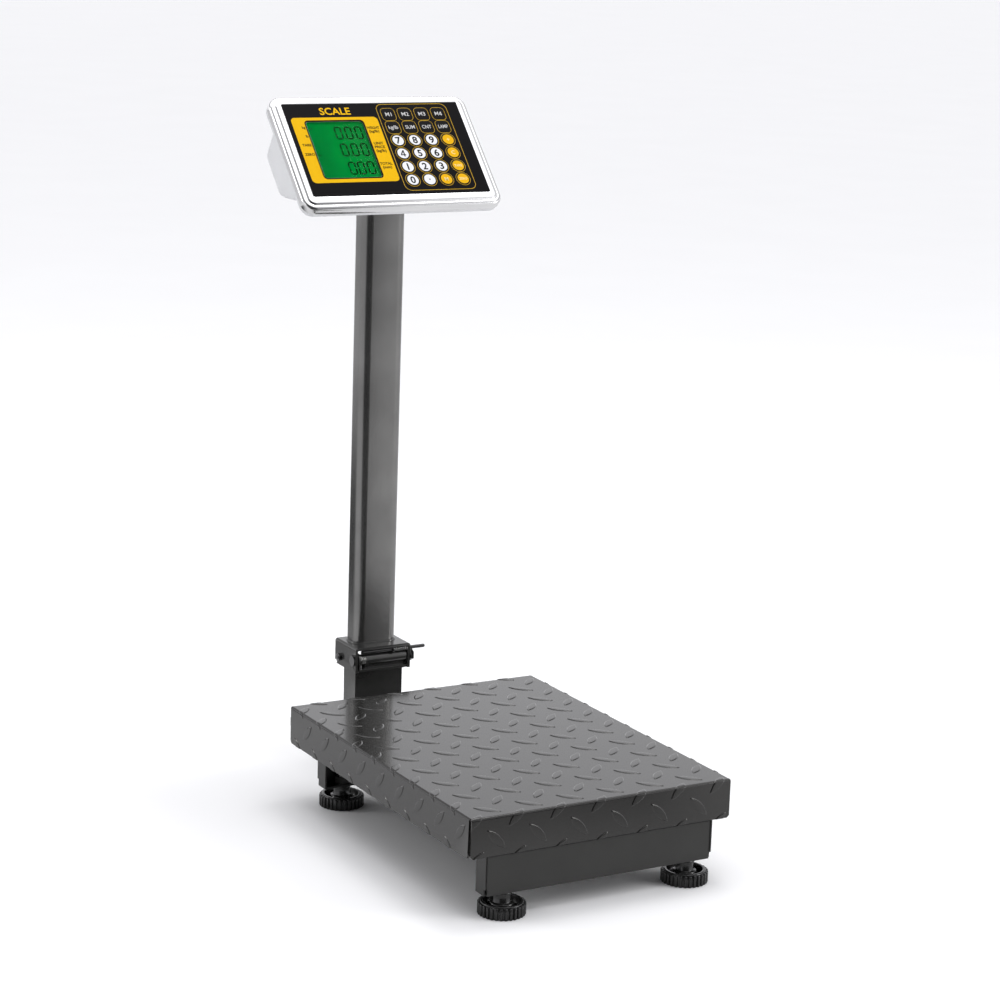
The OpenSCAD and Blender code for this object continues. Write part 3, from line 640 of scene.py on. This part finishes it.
def soften(node, width, cuts=()):
    """A copy of a CAD node with its hard edges rounded. cuts are boxes cut away first."""
    mesh = bpy.data.meshes.new(node + "_eased")
    work = bmesh.new()
    work.from_mesh(NODES[node].data)
    if cuts:
        bmesh.ops.remove_doubles(work, verts=work.verts, dist=MERGE)
        work.to_mesh(mesh)
        work.clear()
        work.from_mesh(cut_away(mesh, boxes_mesh(node + "_cuts", cuts)))
    bmesh.ops.remove_doubles(work, verts=work.verts, dist=MERGE)
    bmesh.ops.dissolve_limit(work, angle_limit=math.radians(0.3), verts=work.verts, edges=work.edges)
    corner = math.radians(30)
    hard = [
        e for e in work.edges
        if len(e.link_faces) == 2 and e.calc_face_angle(0) > corner and e.calc_length() > width * MM
    ]
    bmesh.ops.bevel(
        work, geom=hard, offset=width * MM, offset_type="OFFSET", segments=2, profile=0.5,
        affect="EDGES", clamp_overlap=True, harden_normals=False,
    )
    bmesh.ops.triangulate(work, faces=[f for f in work.faces if len(f.verts) > 4])
    work.to_mesh(mesh)
    work.free()
    mesh.materials.append(MATERIALS[SLOT_OF[node]])
    mesh.shade_smooth()
    mesh.set_sharp_from_angle(angle=math.radians(38))
    piece = new_object(node + "_eased", mesh)
    level = piece.modifiers.new("level", "WEIGHTED_NORMAL")
    level.keep_sharp = True
    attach(piece, BODY_OF[node])
    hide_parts(node)


# ---- the head ----

BEZEL_W, BEZEL_H, BEZEL_R, BEZEL_D = 240.0, 150.0, 14.0, 11.0
BEZEL_V = -2.3  # its middle, below the panel's
WINDOW_X, WINDOW_V, WINDOW_W, WINDOW_H = -51.4, -0.2, 68.8, 76.0


def bezel_ring(inset, n):
    loop = round_loop(BEZEL_W - 2 * inset, BEZEL_H - 2 * inset, max(BEZEL_R - inset, 5), 0, BEZEL_V, 8)
    return [in_head(x, v, n) for x, v in loop]


def panel_ring(margin, n, r=1.4):
    return [in_head(x, v, n) for x, v in round_loop(PANEL_W + 2 * margin, PANEL_H + 2 * margin, r, 0, 0, 8)]


def build_bezel():
    """A drawn stainless frame: a rounded outer edge, a step inside it and a flat border round the panel."""
    edge, wall = 3.6, 1.5
    low = -1.3 - edge
    rings = [bezel_ring(0.5, -BEZEL_D), bezel_ring(0.12, -BEZEL_D + 0.15), bezel_ring(0, -BEZEL_D + 0.6)]
    for k in range(7):
        a = math.radians(90 * k / 6)
        rings.append(bezel_ring(edge * (1 - math.cos(a)), low + edge * math.sin(a)))
    step = ((4.6, -1.35), (5.2, -1.5), (5.8, -1.4), (6.6, -0.75), (7.3, -0.2), (7.8, -0.04), (8.4, 0.0))
    rings += [bezel_ring(inset, n) for inset, n in step]
    rings += [panel_ring(1.0, 0.0, 2.2), panel_ring(0.55, -0.05, 1.8), panel_ring(0.25, -0.3)]
    rings += [panel_ring(0.2, -0.8), panel_ring(-4, -0.8), panel_ring(-4, -2.8)]
    rings += [bezel_ring(7, -2.8), bezel_ring(wall, -5)]
    rings += [bezel_ring(wall, -BEZEL_D + 0.4), bezel_ring(wall - 0.4, -BEZEL_D)]
    solid = Solid()
    solid.loft(rings, closed=True)
    solid.make("bezel_drawn", MATERIALS["stainless"], "column", replaces=["front_bezel"])


SHELL_X, SHELL_D = 112.5, 62.0  # half width and depth
SHELL_LOW = -66.5
FLANGE_FRONT, FLANGE_BACK = -11.4, -16.0


def shell_extent(n):
    """Half width, lowest v and highest v of the shell's body at a depth n."""
    seat = SEAT_Z - HEAD_ORIGIN.z
    side_r, low_r, high_r = 8.0, 14.0, 19.0
    sin_t, cos_t = math.sin(HEAD_TILT), math.cos(HEAD_TILT)
    back = -SHELL_D
    half = SHELL_X
    if n < back + side_r:
        half = SHELL_X - side_r + math.sqrt(max(0, side_r ** 2 - (n - back - side_r) ** 2))
    low = max(SHELL_LOW, (seat - n * cos_t) / sin_t)
    centre = (seat + low_r - (back + low_r) * cos_t) / sin_t
    if n < back + low_r * (1 - cos_t):
        low = centre - math.sqrt(max(0, low_r ** 2 - (n - back - low_r) ** 2))
    top_front, top_back = Vector((51, FLANGE_BACK)), Vector((40, back))
    slope = (top_back - top_front).normalized()
    inward = Vector((slope.y, -slope.x))
    high = top_front.x + (n - top_front.y) * slope.x / slope.y
    round_n = back + high_r
    round_v = top_front.x + (high_r - (round_n - top_front.y) * inward.y) / inward.x
    if n < round_n - high_r * inward.y:
        high = round_v + math.sqrt(max(0, high_r ** 2 - (n - round_n) ** 2))
    return half, low, high


def build_shell():
    """The rear cover: a flange behind the bezel and a round-cornered body with a level seat below."""
    def flange(inset, n):
        return bezel_ring(inset + 0.5, n)

    def body(n, grow=0.0):
        half, low, high = shell_extent(n)
        corner = min(8.0, (high - low) / 2 - 0.1)
        loop = round_loop(2 * (half + grow), high - low + 2 * grow, corner + grow, 0, (low + high) / 2, 8)
        return [in_head(x, v, n) for x, v in loop]

    rings = [flange(6, FLANGE_FRONT), flange(0.5, FLANGE_FRONT), flange(0.1, FLANGE_FRONT - 0.15)]
    rings += [flange(0, FLANGE_FRONT - 0.6), flange(0, FLANGE_BACK + 1.4), flange(0.4, FLANGE_BACK + 0.4)]
    rings += [flange(1.4, FLANGE_BACK), body(FLANGE_BACK, 1.6), body(FLANGE_BACK - 0.3, 0.6)]
    rings += [body(FLANGE_BACK - 1.2 - k * 4.4) for k in range(8)]
    rings += [body(-49 - 13 * math.sin(math.radians(a))) for a in range(4, 88, 7)]
    rings += [body(-SHELL_D)]
    solid = Solid()
    solid.loft(rings, cap_start=True, cap_end=True)
    shell = solid.make("shell_moulded", MATERIALS["shell"], "column", replaces=["rear_shell"])
    cut_seat(shell)


def cut_seat(shell):
    """Opens the level seat for the power socket and the rocker."""
    rocker_low, rocker_high = box_mm("power_rocker")
    middle = (rocker_low + rocker_high) / 2
    half = Vector((9.5, 6.5, 0))
    hole_r = 5.7 * MM
    low, high = Vector((middle.x, middle.y, SEAT_Z - 4)), Vector((middle.x, middle.y, SEAT_Z + 12))
    tool = boxes_mesh("seat_cutter", [(low - half, high + half)])
    socket_low, socket_high = box_mm("power_socket")
    centre = (socket_low + socket_high) / 2
    work = bmesh.new()
    work.from_mesh(tool)
    place = Matrix.Translation(Vector((centre.x, centre.y, SEAT_Z + 4)) * MM)
    bmesh.ops.create_cone(
        work, cap_ends=True, segments=40, radius1=hole_r, radius2=hole_r, depth=16 * MM, matrix=place
    )
    work.to_mesh(tool)
    work.free()
    shell.data = cut_away(shell.data, tool)
    shell.data.set_sharp_from_angle(angle=math.radians(35))


INK_LOW, INK_HIGH = 0.0, 0.05  # heights of printed ink over the panel
FILM = 0.02  # how far one ink lies over another


def window_loop(grow, r, aside=0.0):
    """The window's outline, wider and higher by grow, and moved up and to the right by aside."""
    return round_loop(WINDOW_W + grow, WINDOW_H + grow, r, WINDOW_X + aside, WINDOW_V + aside, 8)


def build_surround():
    """The yellow field round the LCD window, its black frame, and a pale line at the window's left and bottom
    edges that is a painted highlight of the glass edge.
    """
    field = Solid()
    ring_plate(field, round_loop(104, 87.2, 5, -50, -0.6, 8), window_loop(2.4, 4.6), INK_LOW, INK_HIGH)
    field.make("lcd_surround", YELLOW_INK, "column")
    rim = Solid()
    ring_plate(rim, window_loop(2.9, 4.8), window_loop(-0.1, 3.5), INK_LOW + FILM, 0.08)
    rim.make("lcd_window_frame", BLACK_INK, "column")
    # Painted highlight: a pale line just under the panel, moved up and to the right so that it shows only at the
    # window's left and bottom edges.
    edge = Solid()
    ring_plate(edge, window_loop(0, 3.5), window_loop(-0.9, 3.1, 0.25), -0.75, -0.7)
    edge.make("lcd_window_highlight_line", EDGE_HIGHLIGHT_INK, "column")


KEY_X0, KEY_V0, KEY_DX, KEY_DV = 17.4, 45.8, 20.6, 17.85  # the first key's place and the steps
KEY_TOP, KEY_RISE = 0.15, 0.16  # height of a key's rim, and of its face over the rim
KEY_ROUND = 0.55  # a square key's corner radius as a share of its half width
key_low, key_high = box_mm("key_r3_c1")
KEY_HALF = (key_high.x - key_low.x) / 2
SQUARE_ROWS = 2  # the rows of square keys, from the top


def key_place(row, col):
    return KEY_X0 + (col - 1) * KEY_DX, KEY_V0 - (row - 1) * KEY_DV


def build_key_rings():
    """The fine gold lines printed round every key and round the whole keypad."""
    lines = Solid()
    line, reach, corner = 0.55, 8.75, 5.2
    for row, col in KEY_WORDS:
        x, v = key_place(row, col)
        if row <= SQUARE_ROWS:
            outer = round_loop(2 * reach, 2 * reach, corner, x, v, 8)
            inner = round_loop(2 * (reach - line), 2 * (reach - line), corner - line, x, v, 8)
        else:
            outer, inner = circle_loop(reach, x, v), circle_loop(reach - line, x, v)
        ring_plate(lines, outer, inner, INK_LOW, INK_HIGH)
    outer, inner = [round_loop(87.5 - g, 117.5 - g, 8 - g / 2, 48.45, 1.25, 10) for g in (0, 1.2)]
    ring_plate(lines, outer, inner, INK_LOW, INK_HIGH)
    lines.make("keypad_lines", GOLD_INK, "column")


def key_height(reach):
    """Height of a key's face at a share of its half width from its middle: a flat top with a soft rim."""
    rise = max(0.0, min(1.0, (0.985 - reach) / 0.12))
    return KEY_TOP + KEY_RISE * rise * rise * (3 - 2 * rise)


KEY_ROWS = ("M1 M2 M3 M4", "kg/lb SUM CNT LAMP", "7 8 9 +", "4 5 6 C", "1 2 3 TARE", "0 . M ZERO")
KEY_WORDS = {
    (row, col): word for row, words in enumerate(KEY_ROWS, 1) for col, word in enumerate(words.split(), 1)
}


# The font's own 4 has outlines that cross, so this one is two shapes, for a capital of height 1
FOUR = (
    ((0, 0.21), (0.42, 0.21), (0.42, 0.35), (0.17, 0.35), (0.42, 0.76), (0.42, 1.0), (0.40, 1.0), (0, 0.37)),
    ((0.42, 0), (0.58, 0), (0.58, 0.21), (0.72, 0.21), (0.72, 0.35), (0.58, 0.35), (0.58, 1.0), (0.42, 1.0)),
)


def word_mesh(words, height, bold=0.0, width=None):
    """Flat lettering round the origin: points (x, y) in millimetres and faces. height is a capital's."""
    curve = bpy.data.curves.new("word", "FONT")
    curve.body = words.rstrip("4")
    curve.size = 1.0
    curve.resolution_u = 3
    curve.offset = bold / height * CAP_HEIGHT if CAP_HEIGHT else 0.0
    made = new_object("word", curve)
    bpy.context.view_layer.update()
    mesh = bpy.data.meshes.new_from_object(made.evaluated_get(bpy.context.evaluated_depsgraph_get()))
    points = [v.co.xy.copy() for v in mesh.vertices]
    faces = [list(p.vertices) for p in mesh.polygons]
    bpy.data.objects.remove(made)
    if words.endswith("4"):
        start = max((p.x for p in points), default=0) + 0.12 * CAP_HEIGHT
        for shape in FOUR:
            faces.append(list(range(len(points), len(points) + len(shape))))
            points += [Vector((start + px * CAP_HEIGHT, py * CAP_HEIGHT)) for px, py in shape]
    low = Vector((min(p.x for p in points), min(p.y for p in points)))
    high = Vector((max(p.x for p in points), max(p.y for p in points)))
    scale = height / CAP_HEIGHT if CAP_HEIGHT else 1.0
    squeeze = scale if width is None else min(scale, width / (high.x - low.x))
    centre = Vector(((low.x + high.x) / 2, CAP_HEIGHT / 2 if CAP_HEIGHT else 0))
    return [((p.x - centre.x) * squeeze, (p.y - centre.y) * scale) for p in points], faces


CAP_HEIGHT = 0.0  # the height of a capital in the font's own units, found here with nothing scaled
capital, _ = word_mesh("H", 1.0)
CAP_HEIGHT = max(y for _, y in capital) - min(y for _, y in capital)


def lay_word(solid, words, height, x, v, rise, bold=0.0, width=None, align=0, number=0):
    """Lays lettering on the face as a thin film. rise(x, v) is the height there. align 1 ends it at x."""
    points, faces = word_mesh(words, height, bold, width)
    reach = max(px for px, _ in points)
    shift = x - align * reach
    half_thick = 0.025
    flat = [(shift + px, v + py) for px, py in points]
    sides = {side: True for face in faces for side in zip(face, face[1:] + face[:1])}
    count = len(points)
    lower = [in_head(px, pv, rise(px, pv) - half_thick) for px, pv in flat]
    upper = [in_head(px, pv, rise(px, pv) + half_thick) for px, pv in flat]
    rim = [[a, b, b + count, a + count] for a, b in sides if (b, a) not in sides]
    under, over = [list(reversed(f)) for f in faces], [[i + count for i in f] for f in faces]
    solid.add(lower + upper, under + over + rim, number)


def build_key(row, col):
    """One key: a slightly crowned disc or square of film with its print."""
    node = f"key_r{row}_c{col}"
    x, v = key_place(row, col)
    square = row <= SQUARE_ROWS
    amber = col == 4 or (row == 6 and col == 3)
    solid = Solid()

    def ring(reach, n):
        half = KEY_HALF * reach
        if square:
            loop = round_loop(2 * half, 2 * half, half * KEY_ROUND, x, v, 8)
        else:
            loop = circle_loop(half, x, v)
        return [in_head(px, pv, n) for px, pv in loop]

    disc = 6.65 / KEY_HALF  # the inked disc of a round key
    reaches = [0.95, 0.92, 0.89, 0.86] + ([0.5] if square else [disc, 0.5])
    rings = [ring(1, KEY_TOP - 1.2), ring(1, KEY_TOP - 0.12), ring(0.985, KEY_TOP)]
    rings += [ring(r, key_height(r)) for r in reaches]
    inks = [0 if square or k < len(rings) - 2 else 1 for k in range(len(rings))]
    solid.loft(rings, inks, cap_start=True, cap_end=True)
    solid.numbers[-2] = 0  # the underside is not inked

    def rise(px, pv):
        away = max(abs(px - x), abs(pv - v)) if square else math.hypot(px - x, pv - v)
        return key_height(away / KEY_HALF) + FILM

    words = KEY_WORDS[row, col]
    if square:
        lay_word(solid, words, 5.0 if row == 1 else 4.6, x, v, rise, 0.06, 11.5, number=2)
    elif amber:
        lay_word(solid, words, 4.6 if len(words) == 1 else 3.0, x, v, rise, 0.06, 9.5, number=2)
    elif words == ".":
        lay_word(solid, words, 8.5, x, v + 3.8, rise, 0.12, number=2)
    else:
        lay_word(solid, words, 8.4, x, v, rise, 0.24, number=2)
    ink = MATERIALS["key_amber" if amber else "key_white"]
    letters = GREY_INK if square else (PALE_INK if amber else BLACK_INK)
    solid.make(node + "_cap", [MATERIALS["key_black"], ink, letters], node, replaces=[node])


def build_labels():
    """Generic words beside the LCD and a plain heading above it."""
    dark = Solid()

    def on_ink(x, v):
        return INK_HIGH + FILM

    for words, v in (("kg", 30), ("lb", 18), ("TARE", 6.2), ("ZERO", -6.2)):
        lay_word(dark, words, 3.1, -87.9, v, on_ink, 0.12, align=1)
    for words, v in (("WEIGHT", 28), ("(kg/lb)", 23.3), ("UNIT", 6.9), ("PRICE", 1.9), ("(kg/lb)", -3.2),
                     ("TOTAL", -20.5), ("(sum)", -25.3)):
        lay_word(dark, words, 3.3, -7.4, v, on_ink, 0.12, 15)
    dark.make("lcd_labels", BLACK_INK, "column")
    heading = Solid()
    lay_word(heading, "SCALE", 9.0, -46, 51.2, lambda x, v: INK_LOW + 0.03, 0.25, 56)
    heading.make("heading", YELLOW_INK, "column")


def segment(x0, v0, x1, v1, half):
    """One bar of a seven-segment digit, pointed at both ends."""
    along = Vector((x1 - x0, v1 - v0)).normalized()
    side = Vector((-along.y, along.x)) * half
    a, b = Vector((x0, v0)) + along * 0.25, Vector((x1, v1)) - along * 0.25
    c, d = a + along * half, b - along * half
    return [tuple(p) for p in (a, c - side, d - side, b, d + side, c + side)]


def build_digits():
    """The LCD's three rows of zeros, its points and its small pointers, just over the backlight."""
    digits = Solid()
    w, h, half = 7.0, 15.6, 0.92
    low, high = -2.36, -2.30

    def bar(loop):
        flat_plate(digits, loop, low, high)

    rows = ((15.4, (-53, -40.8, -28.7)), (-7.3, (-53, -40.8, -28.7)), (-31.8, (-51.2, -40.5, -29)))
    for v0, starts in rows:
        for x0 in starts:
            x1, middle, top = x0 + w, v0 + h / 2, v0 + h
            for line in ((x0, top, x1, top), (x0, v0, x1, v0), (x0, v0, x0, middle), (x0, middle, x0, top),
                         (x1, v0, x1, middle), (x1, middle, x1, top)):
                bar(segment(*line, half))
        bar(round_loop(1.5, 1.5, 0.3, starts[0] + w + 2.7, v0, 2))
    for v in (29.7, -6.2):
        bar([(-82.2, v - 0.7), (-79.6, v - 0.7), (-78.2, v), (-79.6, v + 0.7), (-82.2, v + 0.7)])
    digits.make("lcd_digits", SEGMENT_INK, "column")


KNOB_RIBS, RIB_DEPTH, RIB_STEPS = 30, 2.1, 12
KNOB_R, KNOB_H = 24.0, 13.2


def rib_depth_at(turn):
    """Depth below the ribs' tops at a turn counted in ribs: a flat top, steep flanks, a round gap."""
    away = abs(turn - round(turn)) * 2
    rise = max(0.0, min(1.0, (away - 0.42) / 0.26))
    return RIB_DEPTH * rise * rise * (3 - 2 * rise)


def build_knob(node):
    """A levelling foot's knob: a ribbed rim, a bead, a recess and a collar round the stud."""
    low, high = box_mm(node)
    cx, cy = (low.x + high.x) / 2, (low.y + high.y) / 2
    beam_z = high.z
    steps = KNOB_RIBS * RIB_STEPS

    def ring(r, z, ribbed=0):
        loop = []
        for k in range(steps):
            a = 2 * math.pi * k / steps
            reach = r - ribbed * rib_depth_at(k / RIB_STEPS)
            loop.append(Vector((cx + reach * math.cos(a), cy + reach * math.sin(a), z)))
        return loop

    rim = ((0.9, 0, 0.6), (0.25, 0.3, 0.9), (0, 0.9, 1), (0, KNOB_H - 2.0, 1), (0.3, KNOB_H - 1.4, 1),
           (0.9, KNOB_H - 1.1, 0.8))  # how far in, height, and how much the ribs stand out
    groove = ((22.0, 1.0), (21.7, 1.1), (21.5, 1.6), (21.3, 0.5), (20.9, 0.1), (20.5, 0))
    recess = ((18.9, 0), (18.5, 0.15), (18.3, 0.8), (18.0, 6.4), (17.4, 7.0), (13.0, 7.0),
              (12.4, 5.2), (12.0, 1.6), (11.5, 1.2), (9.2, 1.1), (8.8, 0.7))
    collar = ((8.6, 2.6), (9.6, 2.3), (9.8, 0.4), (9.5, 0), (5.6, 0), (5.3, 0.3))
    rings = [ring(21.2, 0)]
    rings += [ring(KNOB_R - inset, z, ribbed) for inset, z, ribbed in rim]
    rings += [ring(r, KNOB_H - down) for r, down in groove + recess]
    rings += [ring(r, beam_z - down) for r, down in collar]
    rings += [ring(5.3, 4.9)]
    solid = Solid()
    solid.loft(rings, cap_start=True, cap_end=True)
    solid.make(node + "_ribbed", MATERIALS["knob"], BODY_OF[node], sharp=50, replaces=[node])


COLUMN_R = 11.0
CORNER_STEPS = 14


def build_column():
    """The column's tube, with its corners drawn round COLUMN_R."""
    low, high = box_mm("column_tube")
    centre_y = (low.y + high.y) / 2
    solid = Solid()
    rings = []
    end = 0.6  # how far the tube's ends are eased
    for inset, z in ((end, low.z), (0, low.z + end), (0, high.z - end), (end, high.z)):
        w, d = high.x - low.x - 2 * inset, high.y - low.y - 2 * inset
        loop = round_loop(w, d, COLUMN_R - inset, 0, centre_y, CORNER_STEPS)
        rings.append([Vector((x, y, z)) for x, y in loop])
    solid.loft(rings, cap_start=True, cap_end=True)
    paint_of = MATERIALS["column_paint"]
    solid.make("column_drawn", paint_of, "column", replaces=["column_tube"])


def build_weld():
    """The painted weld bead where the column stands on the saddle."""
    low, high = box_mm("column_tube")
    centre_y = (low.y + high.y) / 2
    bead, sides = 1.5, 8
    flat_x, flat_y = (high.x - low.x) / 2 - COLUMN_R, (high.y - low.y) / 2 - COLUMN_R
    solid = Solid()
    rings = []
    for x, y in round_loop(high.x - low.x, high.y - low.y, COLUMN_R, 0, centre_y, CORNER_STEPS):
        out = Vector((x, y - centre_y, 0))
        inward = Vector((max(-flat_x, min(flat_x, out.x)), max(-flat_y, min(flat_y, out.y)), 0))
        out = (out - inward).normalized()
        wobble = 1 + 0.12 * math.sin(1.7 * (x + y)) * math.cos(0.9 * (x - y))
        ring = []
        for k in range(sides):
            a = 2 * math.pi * k / sides
            way = out * math.cos(a) + Vector((0, 0, 1)) * math.sin(a)
            ring.append(Vector((x, y, low.z)) + way * bead * wobble)
        rings.append(ring)
    solid.loft(rings, closed=True)
    solid.make("column_weld", MATERIALS["hinge_paint"], "column")


def build_spring():
    """The latch spring, copied from its CAD node into an object with a mesh of its own. On the real scale it
    shortens between the rod's collar and the saddle as the rod is pulled; this copy keeps its shape.
    """
    node = "latch_spring"
    piece = new_object(node + "_coil", NODES[node].data.copy())
    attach(piece, BODY_OF[node])
    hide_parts(node)
    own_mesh(piece)


# ---- everything is made here ----

for name, o in NODES.items():
    o.data.materials.clear()
    o.data.materials.append(WASHER_STEEL if name == "pivot_washers" else MATERIALS[SLOT_OF[name]])

EASED = {
    "base_spine": 0.8, "post_stub": 0.5, "hinge_saddle": 1.1,
    "pivot_bolt": 0.4, "cross_bolt": 0.3, "upper_frame": 0.6, "load_cell": 0.5, "overload_stops": 0.4,
    "column_head": 0.4,
}
for name, width in EASED.items():
    soften(name, width)
END_PLATE, SEAM_HALF, SEAM_LOW = 1.8, 0.45, 6.9  # the seam between a beam and its end plates
BEAM_GAP = 1.9  # taken off a beam's top, to show the gap under the pan
for name in ("base_front_beam", "base_rear_beam"):
    low, high = box_mm(name)
    front, back, over = low.y - 1, high.y + 1, high.z + 1
    seams = [s * (high.x - END_PLATE) for s in (-1, 1)]
    cuts = [((x - SEAM_HALF, front, low.z + SEAM_LOW), (x + SEAM_HALF, back, over)) for x in seams]
    soften(name, 0.35, cuts + [((low.x - 1, front, high.z - BEAM_GAP), (high.x + 1, back, over))])

build_pan()
build_bezel()
build_shell()
build_surround()
build_key_rings()
for key_row, key_col in KEY_WORDS:
    build_key(key_row, key_col)
build_labels()
build_digits()
build_column()
build_weld()
build_spring()
for name in NODES:
    if name.startswith("foot_knob"):
        build_knob(name)


# ---- floor, light and camera ----

# No flag stands there: the world is darker that way, and the floor carries painted shade towards it, for
# mirror-like rays only.
FLAG = (-0.27, -0.95)  # the way to a black flag at the front left, which only reflections show


def build_floor():
    """Pale paper, with painted shade that only mirror-like rays see: a little darker everywhere, and most of all
    towards the flag and in a spot behind.
    """
    made = new_material("floor_paper", 0.9, Specular_IOR_Level=0.1)
    tone(made, noise(made, 300, detail=2), (0.93, 0.93, 0.93), 0.005)
    place = add_node(made, "ShaderNodeTexCoord").outputs["Object"]
    way = vector_maths(made, "NORMALIZE", place).outputs["Vector"]
    to_flag = vector_maths(made, "DOT_PRODUCT", way, Vector((*FLAG, 0)).normalized()).outputs["Value"]
    away = vector_maths(made, "LENGTH", place).outputs["Value"]
    # Painted shade for mirror-like rays: a dark side towards the flag, a spot behind and to the left, and a little
    # everywhere, mixed with black.
    flag = maths(made, "MULTIPLY", spread(made, to_flag, 0, 0.7, 0.70, 0.80),
                 spread(made, away, 0, 1, 0.42, 0.70))
    to_patch = vector_maths(made, "DISTANCE", place, (-0.6, 1.25, 0)).outputs["Value"]
    shade_patch = spread(made, to_patch, 0.72, 0, 0.35, 0.95)
    everywhere = 0.26
    shade = maths(made, "ADD", maths(made, "ADD", flag, shade_patch), everywhere)
    ray = add_node(made, "ShaderNodeLightPath").outputs["Is Glossy Ray"]
    black = add_node(made, "ShaderNodeBsdfDiffuse", Color=(0.02, 0.02, 0.02, 1))
    mix = add_node(made, "ShaderNodeMixShader")
    link(made, maths(made, "MULTIPLY", shade, ray), mix.inputs[0])
    link(made, shader_of(made).outputs["BSDF"], mix.inputs[1])
    link(made, black.outputs["BSDF"], mix.inputs[2])
    link(made, mix.outputs["Shader"], made.node_tree.nodes["Material Output"].inputs["Surface"])
    mesh = bpy.data.meshes.new("floor")
    reach = 30
    corners = [(-reach, -reach, 0), (reach, -reach, 0), (reach, reach, 0), (-reach, reach, 0)]
    mesh.from_pydata(corners, [], [[0, 1, 2, 3]])
    mesh.materials.append(made)
    floor = new_object("floor", mesh)
    floor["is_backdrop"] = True


MIX_A, MIX_B, MIX_RESULT = 6, 7, 2  # a Mix node's colour sockets


def grey_ramp(world, factor, stops):
    return ramp(world, factor, [(position, (level, level, level * 1.01)) for position, level in stops])


def multiplied(world, one, other):
    made = add_node(world, "ShaderNodeMix")
    made.data_type = "RGBA"
    made.blend_type = "MULTIPLY"
    made.inputs[0].default_value = 1.0
    link(world, one, made.inputs[MIX_A])
    link(world, other, made.inputs[MIX_B])
    return made.outputs[MIX_RESULT]


def build_world():
    """A pale studio: bright low down, dimmer overhead, with a dark side at the front left."""
    world = bpy.data.worlds.new("studio")
    bpy.context.scene.world = world
    world.use_nodes = True
    background = world.node_tree.nodes["Background"]
    way = add_node(world, "ShaderNodeTexCoord").outputs["Generated"]
    split = add_node(world, "ShaderNodeSeparateXYZ")
    link(world, way, split.inputs["Vector"])
    heights = [(0.0, 1.05), (0.28, 1.0), (0.45, 0.5), (0.62, 0.5), (0.80, 0.85), (0.95, 2.2)]
    height = grey_ramp(world, split.outputs["Z"], heights)
    to_flag = vector_maths(world, "DOT_PRODUCT", way, Vector((*FLAG, 0.1)).normalized())
    side = grey_ramp(world, to_flag.outputs["Value"], [(0.68, 1.0), (0.74, 0.5), (0.80, 0.05)])
    overhead = vector_maths(world, "DOT_PRODUCT", way, Vector((-0.50, -0.32, 0.80)).normalized())
    above = grey_ramp(world, overhead.outputs["Value"], [(0.86, 1.0), (0.95, 0.3)])
    studio = multiplied(world, multiplied(world, height, side), above)
    ray = add_node(world, "ShaderNodeLightPath").outputs["Is Camera Ray"]
    mix = add_node(world, "ShaderNodeMix")
    mix.data_type = "RGBA"
    mix.inputs[MIX_B].default_value = (1.0, 1.0, 1.0, 1)
    link(world, ray, mix.inputs[0])
    link(world, studio, mix.inputs[MIX_A])
    link(world, mix.outputs[MIX_RESULT], background.inputs["Color"])
    background.inputs["Strength"].default_value = 1.13


def softbox(name, place, target, size, power):
    """A rectangular light at place, turned to target."""
    data = bpy.data.lights.new(name, "AREA")
    data.shape = "RECTANGLE"
    data.size, data.size_y = size
    data.energy = power
    light = new_object(name, data)
    light.location = place
    light.rotation_mode = "QUATERNION"
    light.rotation_quaternion = (Vector(target) - Vector(place)).to_track_quat("-Z", "Y")


def build_camera():
    """The camera stands in front, left of the scale and above it, a little rolled, with a long lens."""
    azimuth, elevation, roll = math.radians(30.01), math.radians(12.79), math.radians(-1.92)
    reach = math.cos(elevation)
    forward = Vector((math.sin(azimuth) * reach, math.cos(azimuth) * reach, -math.sin(elevation)))
    level = forward.cross(Vector((0, 0, 1))).normalized()
    down = forward.cross(level)
    right = level * math.cos(roll) + down * math.sin(roll)
    up = right.cross(forward)
    data = bpy.data.cameras.new("camera")
    data.sensor_width = 36
    data.lens = 99.2
    camera = new_object("camera", data)
    turn = Matrix((right, up, -forward)).transposed().to_4x4()
    camera.matrix_world = Matrix.Translation((-1.3785, PAN_Y * MM - 2.3625, 0.9821)) @ turn
    bpy.context.scene.camera = camera


build_floor()
build_world()
softbox("key_light", (0.9, 0.5, 3.0), (0, 0, 0.3), (0.9, 0.9), 16)
softbox("left_light", (-2.4, 1.6, 1.5), (0, 0, 0.2), (0.5, 1.4), 12)
softbox("front_light", (2.1, -1.7, 1.3), (0, 0, 0.35), (0.9, 1.4), 20)
build_camera()
bpy.context.scene.view_settings.view_transform = "Standard"

low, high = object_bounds()
